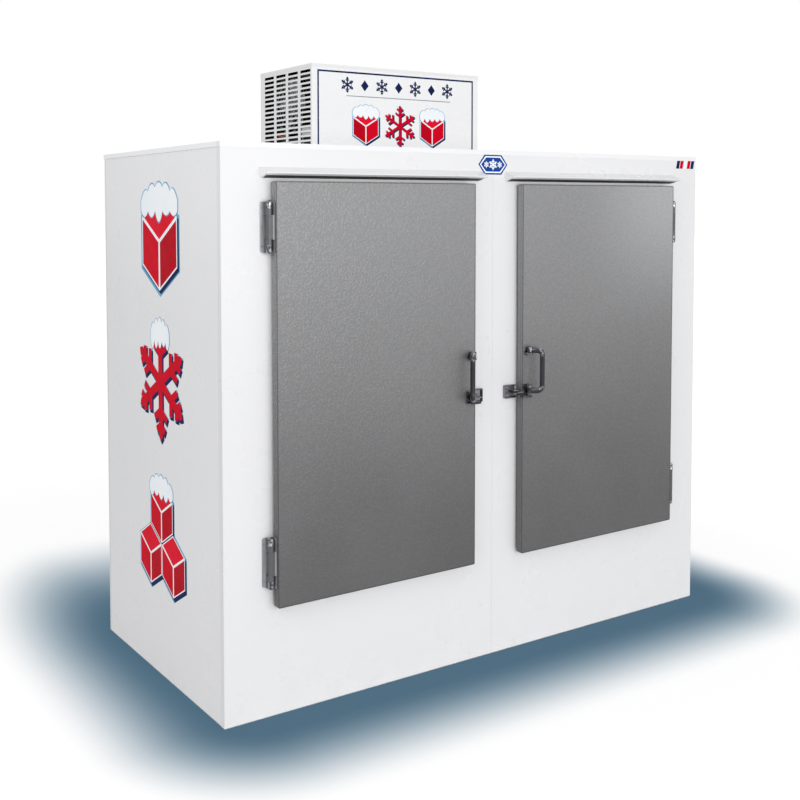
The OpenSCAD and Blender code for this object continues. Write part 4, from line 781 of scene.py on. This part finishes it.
def side_prints(name, x, sign):
    """Three motifs down a side panel; across runs from the front edge backwards."""
    film = Film((x, CAP_Y, 0), (0, 1, 0), (0, 0, 1), (sign, 0, 0))
    shade = (-0.012, -0.01)
    ice_cube(film, (0.512, 1.66), 0.185, shade, 3)
    snow_crystal(film, (0.515, 1.13), 0.215, shade, 0.17)
    snow_cap(film, 0.515, 0.085, 1.285, 1.375, 11, 0.085 * 0.035)
    for at, r, seed in (((0.622, 0.45), 0.118, 8), ((0.414, 0.45), 0.118, 5), ((0.518, 0.632), 0.118, 14)):
        ice_cube(film, at, r, shade, seed, at[1] > 0.5)
    film.done(name, "cabinet", "white_sheet")


side_prints("print_left", -SIDE_X, -1)
side_prints("print_right", SIDE_X, 1)


def ring_outline(x0, z0, x1, z1, t):
    """Four bars of a rectangular line."""
    return [[(x0, z0), (x1, z0), (x1, z0 + t), (x0, z0 + t)],
            [(x0, z1 - t), (x1, z1 - t), (x1, z1), (x0, z1)],
            [(x0, z0 + t), (x0 + t, z0 + t), (x0 + t, z1 - t), (x0, z1 - t)],
            [(x1 - t, z0 + t), (x1, z0 + t), (x1, z1 - t), (x1 - t, z1 - t)]]


def sign_prints():
    """Frame, a row of small motifs over a thin line, and three large motifs."""
    film = Film((0, SIGN_Y, 0), (1, 0, 0), (0, 0, 1), (0, -1, 0))
    for bar in ring_outline(-0.42, 2.026, 0.42, 2.364, 0.0075):
        film.add(NAVY, 0, bar)
    shade = (0.006, -0.005)
    for k in range(7):
        x = -0.27 + k * 0.09
        if k % 2:
            diamond = [(x - 0.02, 2.308), (x, 2.284), (x + 0.02, 2.308), (x, 2.332)]
            film.add(NAVY, 0, diamond)
        else:
            film.add(NAVY, 2, moved(flake_outline(0.033, 0.2 * 0.033, TWIGS), x, 2.308))
    film.add(GREY, 0, [(-0.275, 2.2595), (0.289, 2.2595), (0.289, 2.263), (-0.275, 2.263)])
    ice_cube(film, (-0.175, 2.135), 0.077, shade, 12)
    snow_crystal(film, (0.005, 2.142), 0.088, shade)
    ice_cube(film, (0.185, 2.135), 0.077, shade, 21)
    film.done("print_sign", "cabinet", "sign_sheet")


sign_prints()


BADGE_Z = 1.951


def front_badges():
    """Long hexagon with three snow crystals on the header, and a sticker of slanting bars."""
    film = Film((0, WALL_Y, 0), (1, 0, 0), (0, 0, 1), (0, -1, 0))
    long_hex = [(-0.074, 0), (-0.043, -0.039), (0.043, -0.039), (0.074, 0), (0.043, 0.039), (-0.043, 0.039)]
    for material, level, wide, high in ((BLUE, 1, 1, 1), (SNOW, 2, 0.9, 0.84), (BLUE, 3, 0.82, 0.7)):
        film.add(material, level, [(x * wide, BADGE_Z + z * high) for x, z in long_hex])
    for x, r in ((-0.034, 0.013), (0, 0.021), (0.034, 0.013)):
        film.add(SNOW, 4, moved(flake_outline(r, r * 0.24, ((0.5, 0.34),)), x, BADGE_Z))
    for k, material in enumerate((NAVY, RED, SNOW, RED, NAVY)):
        x = 1.064 + k * 0.0235
        film.add(material, 1, [(x, 1.954), (x + 0.0195, 1.954), (x + 0.028, 1.991), (x + 0.0085, 1.991)])
    film.done("badge_front", "cabinet", "white_sheet")


front_badges()

# ---- Front: seam, hoods, doors ----


def front_trim():
    """Sealant in the front seam and at the corners, and the dark seals under the rain hoods, which also stand in
    as painted shade there.
    """
    seam = Build()
    seam.bar((-0.0005, -0.5319, 0.003), (0.0005, -0.5306, 1.987), 0.0002)
    grey = plastic("sealant_grey", rgb(206, 208, 210), rgb(194, 196, 199), 0.5, 300)
    seam.done("seam_sealant", grey, "cabinet", "white_sheet")
    for side, name in HANDS:
        corner = Build()
        x0, x1 = sorted((side * SIDE_X, side * (SIDE_X + 0.0006)))
        for y in (-0.5235, 0.5225):
            corner.bar((x0, y - 0.0009, 0.004), (x1, y + 0.0009, 1.986), 0.0002)
        corner.done("corner_seal_" + name, grey, "cabinet", "white_sheet")
    for _, name in HANDS:
        lo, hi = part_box("rain_hood_" + name)
        strip = Build()
        # Dark rubber seal on the hood's lower face, from near the lip to the wall; it also serves as painted
        # shade under the hood
        run = Vector((0, -0.048, 0.014))
        down = Vector((0, -0.014, -0.048)).normalized() * 0.0012
        x0, x1 = lo.x + 0.014, hi.x - 0.014
        base = Vector((0, hi.y, lo.z))
        corners = [(x0 - 0.004, 0.58), (x1 + 0.004, 0.58), (x1, 0.03), (x0, 0.03)]
        verts = [Vector((x, 0, 0)) + base + run * t + down * f for f in (0.1, 1) for x, t in corners]
        faces = [(0, 3, 2, 1), (4, 5, 6, 7), (0, 1, 5, 4), (1, 2, 6, 5), (2, 3, 7, 6), (3, 0, 4, 7)]
        strip.take(verts, faces)
        strip.done("hood_seal_" + name, RUBBER, "cabinet", "black_rubber")


front_trim()


# ---- Hinge ends, latch fasteners ----

# Painted reflections: strong mottling between pale and near-black, as chrome mirroring its surroundings
CHROME_CAP = metal_finish("cap_chrome", rgb(196, 197, 200), rgb(52, 52, 56), 0.2, 200, metallic=1.0,
                          coat=0.3, bump=0.04, scale=90)

def hinge_details(side, name):
    """Screws of the wall leaves, and a turned cap at each end of the barrels."""
    spots = [(side * 1.0366, WALL_Y - 0.0035, z + dz) for z in HINGE_Z for dz in (0.022, 0.0875, 0.153)]
    heads("hinge_screws_" + name, spots, (0, -1, 0), 0.0038, "cabinet", "hinge_metal", HINGE_SHADED,
          FLAT_HEAD)
    caps = Build()
    curve = [(0, 0), (0.0107, 0), (0.0109, 0.0008), (0.0107, 0.0016), (0.0105, 0.0022), (0.0105, 0.022),
             (0.0101, 0.0246), (0.0088, 0.027), (0.0065, 0.0287), (0.0034, 0.0297), (0, 0.03)]
    for z in HINGE_Z:
        caps.lathe(curve, Matrix.Translation((side * HINGE_X, HINGE_Y, z + HINGE_H - 0.0235)), 32)
        caps.lathe(curve, facing((0, 0, -1), (side * HINGE_X, HINGE_Y, z + 0.0255)), 32)
    caps.done("hinge_caps_" + name, CHROME_CAP, "cabinet", "pin_steel", True)


def latch_details(side, name):
    """Screws of a latch body, its upper bracket and its strike."""
    plate = DOOR_FACE - 0.004
    spots = [(side * x, plate, z) for x, z in ((0.1638, 1.0312), (0.1638, 1.0748), (0.1274, 1.0748))]
    spots += [(side * (PIVOT_X + dx), plate, 1.2165) for dx in (-0.0112, 0.0112)]
    heads("latch_screws_" + name, spots, (0, -1, 0), 0.0028, "door_" + name, "dark_chrome", CHROME)
    heads("strike_screw_" + name, [(side * 0.075, -0.54, LATCH_Z)], (0, -1, 0), 0.0064, "cabinet",
          "dark_chrome", CHROME_CAP)


def drum(r, low, high, edge):
    """Profile of a short shaft with chamfered rims."""
    return [(0, low), (r - edge, low), (r, low + edge), (r, high - edge), (r - edge, high), (0, high)]


def forged_handle(side, name):
    """D-shaped handle with swelling arms, its hub, boss, trunnions and kick-off toe."""
    low, top, reach, turn_r, grip_r, toe_z = 1.056, 1.218, 0.048, 0.02, 0.00995, 1.0275
    out = Vector((side * math.cos(math.radians(48)), -math.sin(math.radians(48)), 0))
    pivot = Vector((side * PIVOT_X, PIVOT_Y, 0))
    arm = [(0.0, 0.0098), (0.006, 0.0102), (0.012, 0.0108), (0.016, 0.0118), (0.02, 0.0124), (0.025, 0.0122)]
    path = [(s, low, r) for s, r in arm]
    for k in range(9):
        a = math.radians(90 * k / 8)
        path.append((reach - turn_r + turn_r * math.sin(a), low + turn_r * (1 - math.cos(a)),
                     0.0121 + (grip_r - 0.0121) * k / 8))
    for k in range(1, 12):
        z = low + turn_r + (top - low - 2 * turn_r) * k / 12
        path.append((reach, z, grip_r + 0.0002 * math.sin(math.pi * k / 12) - 0.0002))
    for k in range(9):
        a = math.radians(90 * k / 8)
        path.append((reach - turn_r + turn_r * math.cos(a), top - turn_r * (1 - math.sin(a)),
                     grip_r + (0.0129 - grip_r) * k / 8))
    path += [(s, top, r + 0.0006) for s, r in reversed(arm)]
    build = Build()
    sides = 20
    verts, faces = [], []
    across = out.cross(Vector((0, 0, 1)))
    for k, (s, z, r) in enumerate(path):
        a, b = path[max(k - 1, 0)], path[min(k + 1, len(path) - 1)]
        along = (out * (b[0] - a[0]) + Vector((0, 0, b[1] - a[1]))).normalized()
        inward = along.cross(across).normalized()
        at = pivot + out * s + Vector((0, 0, z))
        for i in range(sides):
            t = 2 * math.pi * i / sides
            verts.append(at + inward * (r * math.cos(t)) + across * (r * math.sin(t)))
    for k in range(len(path) - 1):
        for i in range(sides):
            j = (i + 1) % sides
            faces.append((k * sides + i, k * sides + j, (k + 1) * sides + j, (k + 1) * sides + i))
    faces.append(tuple(reversed(range(sides))))
    faces.append(tuple((len(path) - 1) * sides + i for i in range(sides)))
    build.take(verts, faces)
    place = Matrix.Translation(pivot)
    build.lathe(drum(0.012, 1.045, 1.067, 0.0008), place, 36)
    boss = [(0, 1.207), (0.0112, 1.207), (0.012, 1.2078), (0.012, 1.229), (0.0108, 1.2312),
            (0.0085, 1.2326), (0.005, 1.2335), (0, 1.2338)]
    build.lathe(boss, place, 36)
    build.lathe(drum(0.005, toe_z, 1.0745, 0.0004), place)
    build.lathe([(0, 1.1995), (0.0046, 1.1995), (0.005, 1.1999), (0.005, 1.21), (0, 1.21)], place)
    build.lathe(drum(0.008, toe_z, 1.0365, 0.0006), place)
    toe = [(-0.038, -0.003), (-0.037, -0.004), (0, -0.004), (0, 0.004), (-0.033, 0.004), (-0.033, 0.0072),
           (-0.0338, 0.008), (-0.0372, 0.008), (-0.038, 0.0072)]
    toe = toe if side > 0 else [(-x, y) for x, y in reversed(toe)]
    build.prism(toe, 0.009, Matrix.Translation((pivot.x, pivot.y, toe_z)))
    made = build.done("forged_handle_" + name, CHROME, "handle_" + name, "dark_chrome", True)
    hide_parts("door_handle_" + name)


for side, name in HANDS:
    hinge_details(side, name)
    latch_details(side, name)
    forged_handle(side, name)

# ---- Condensing unit ----


def rounded(w, h, r, steps=5):
    """Rectangle with round corners about the origin."""
    points = []
    for cx, cy, start in ((w / 2 - r, h / 2 - r, 0), (r - w / 2, h / 2 - r, 90),
                          (r - w / 2, r - h / 2, 180), (w / 2 - r, r - h / 2, 270)):
        for k in range(steps + 1):
            a = math.radians(start + 90 * k / steps)
            points.append((cx + r * math.cos(a), cy + r * math.sin(a)))
    return points


def unit_lining():
    """Thin black sheets on the unit's inner faces and its base, that darken its inside as painted shade."""
    for name, lo, hi in (("top", (-0.446, 0.0965, 2.3845), (0.446, 0.5315, 2.3863)),
                         ("front", (-0.446, 0.0962, 2.0265), (0.446, 0.098, 2.3842)),
                         ("rear_middle", (-0.252, 0.53, 2.0265), (0.252, 0.5318, 2.3842)),
                         ("rear_left", (-0.446, 0.53, 2.0265), (-0.343, 0.5318, 2.3842)),
                         ("rear_right", (0.343, 0.53, 2.0265), (0.446, 0.5318, 2.3842)),
                         ("floor", (-0.4445, 0.0985, 2.0101), (-0.23, 0.5295, 2.0109))):
        sheet = Build()
        sheet.bar(lo, hi, 0.0003)
        sheet.done("lining_" + name, LINING, "cabinet", "black_plastic")


def unit_details():
    """Fittings inside the condensing unit, and the screws outside it."""
    copper = SLOT_FINISH["copper_tube"]
    x = -0.4398
    stub = [(x, 0.3, 2.0125), (x, 0.3, 2.05), (x, 0.302, 2.088), (x, 0.312, 2.0972), (x, 0.352, 2.098),
            (x, 0.392, 2.0972), (x, 0.402, 2.088), (x, 0.404, 2.05), (x, 0.404, 2.0125)]
    tube("liquid_stub", stub, 0.0033, "cabinet", copper)
    box = Build()
    box.bar((-0.4442, 0.107, 2.089), (-0.4346, 0.186, 2.125), 0.0012)
    for y in (0.112, 0.178):
        box.bar((-0.4412, y, 2.0102), (-0.4376, y + 0.004, 2.0895), 0.0005)
    box.done("junction_box", SLOT_FINISH["zinc_sheet"], "cabinet", "zinc_sheet")
    spots = [(-0.4442, y, z) for y in (0.114, 0.179) for z in (2.096, 2.118)]
    heads("junction_screws", spots, (-1, 0, 0), 0.0024, "cabinet", "pin_steel", BRIGHT)
    lid = Build()
    face = facing((0, -1, 0), (0.3575, 0.1445, 2.11))
    lid.prism(rounded(0.142, 0.19, 0.006), 0.0014, face)
    lid.done("control_lid", SLOT_FINISH["zinc_sheet"], "cabinet", "zinc_sheet")
    spots = [(0.3575 + dx, 0.1431, 2.11 + dz) for dx in (-0.062, 0.062) for dz in (-0.086, 0.086)]
    heads("control_screws", spots, (0, -1, 0), 0.0038, "cabinet", "pin_steel", BRIGHT, HEX_WASHER)
    dial = Film((0.2825, 0.1895, 2.15), (0, 1, 0), (0, 0, 1), (-1, 0, 0))
    for k in range(11):
        a = math.radians(-60 + k * 30)
        mark = [(0.0205, -0.0005), (0.0245 if k % 5 else 0.027, -0.0005),
                (0.0245 if k % 5 else 0.027, 0.0005), (0.0205, 0.0005)]
        dial.add(NAVY, 0, turned(mark, a))
    dial.done("dial_marks", "cabinet", "zinc_sheet")
    conduit = [(0.2822, 0.165, 2.0146), (0.2, 0.166, 2.0143), (0.11, 0.168, 2.0143), (0.062, 0.178, 2.0148),
               (0.0455, 0.197, 2.026), (0.044, 0.2, 2.05), (0.044, 0.2, 2.0922)]
    tube("motor_conduit", conduit, 0.0036, "cabinet", BLACK)
    seam = Build()
    seam.hoop(0.0876, 0.0021, Matrix.Translation((0.02, 0.308, 2.128)), 64)
    seam.hoop(0.0872, 0.0012, Matrix.Translation((0.02, 0.308, 2.1335)), 64)
    seam.done("shell_seam", SLOT_FINISH["black_enamel"], "cabinet", "black_enamel", True)
    for side, name in HANDS:
        spots = [(side * UNIT_SIDE_X, y, 2.3822) for y in (0.125, 0.31, 0.5)]
        heads("cover_screws_" + name, spots, (side, 0, 0), 0.0028, "cabinet", "white_sheet", WHITE)
    spots = [(x, UNIT_BACK_Y, z) for x in (-0.436, 0.436) for z in (2.03, 2.2, 2.37)]
    spots += [(x, UNIT_BACK_Y, 2.37) for x in (-0.15, 0.15)]
    heads("rear_screws", spots, (0, 1, 0), 0.0042, "cabinet", "pin_steel", BRIGHT, HEX_WASHER)
    hub = Build()
    nut = [(0, 0.0062), (0.003, 0.0062), (0.0036, 0.0045), (0.0062, 0.0042), (0.007, 0.001), (0.0072, 0), (0, 0)]
    hub.lathe(list(reversed(nut)), facing((-1, 0, 0), (-0.417, FAN_Y, FAN_Z)), 6)
    hub.done("fan_nut", BRIGHT, "condenser_rotor", "fan_aluminium")


unit_lining()
unit_details()

# ---- Back, evaporator ----


def back_details():
    """Screws of the back panel, and the collar round the drain."""
    heights = (0.08, 0.4, 0.72, 1.04, 1.36, 1.68, 1.96)
    spots = [(side * 1.172, BACK_Y, z) for side, _ in HANDS for z in heights]
    spots += [(x, BACK_Y, z) for x in (-0.86, -0.43, 0.43, 0.86) for z in (0.03, 1.972)]
    heads("back_screws", spots, (0, 1, 0), 0.0052, "cabinet", "white_sheet", BRIGHT, HEX_WASHER)
    collar = Build()
    ring = [(0.0127, 0.0), (0.024, 0.0), (0.024, 0.0012), (0.017, 0.0016), (0.0155, 0.005), (0.0133, 0.0052)]
    sides = 40
    verts, faces = [], []
    for k in range(sides):
        a = 2 * math.pi * k / sides
        verts += [(r * math.cos(a), r * math.sin(a), z) for r, z in ring]
        for i in range(len(ring)):
            j, m = (i + 1) % len(ring), (k + 1) % sides
            faces.append((k * len(ring) + i, m * len(ring) + i, m * len(ring) + j, k * len(ring) + j))
    collar.take(verts, faces, facing((0, 1, 0), (0, BACK_Y, DRAIN_Z)))
    collar.done("drain_collar", BLACK, "cabinet", "black_plastic", True)


def evaporator_details():
    """Wire guard in front of the evaporator's fan, and the housing's screws."""
    guard = Build()
    turn = facing((0, -1, 0), EVAPORATOR_FAN)
    for r in (0.022, 0.038, 0.054, 0.07, 0.086, 0.1025):
        guard.hoop(r, 0.0012, turn)
    for k in range(4):
        a = math.radians(45 + 90 * k)
        spoke = [(0.022, -0.0011), (0.1035, -0.0011), (0.1035, 0.0011), (0.022, 0.0011)]
        guard.prism(turned(spoke, a), 0.002, turn @ Matrix.Translation((0, 0, -0.0014)))
    guard.done("evaporator_guard", BRIGHT, "cabinet", "pin_steel", True)
    spots = [(x, 0.123, z) for x in (-0.3, 0.3) for z in (1.712, 1.913)]
    spots += [(x, 0.123, z) for x in (-0.16, 0.16) for z in (1.708, 1.918)]
    heads("evaporator_screws", spots, (0, -1, 0), 0.0042, "cabinet", "pin_steel", BRIGHT, HEX_WASHER)


back_details()
evaporator_details()
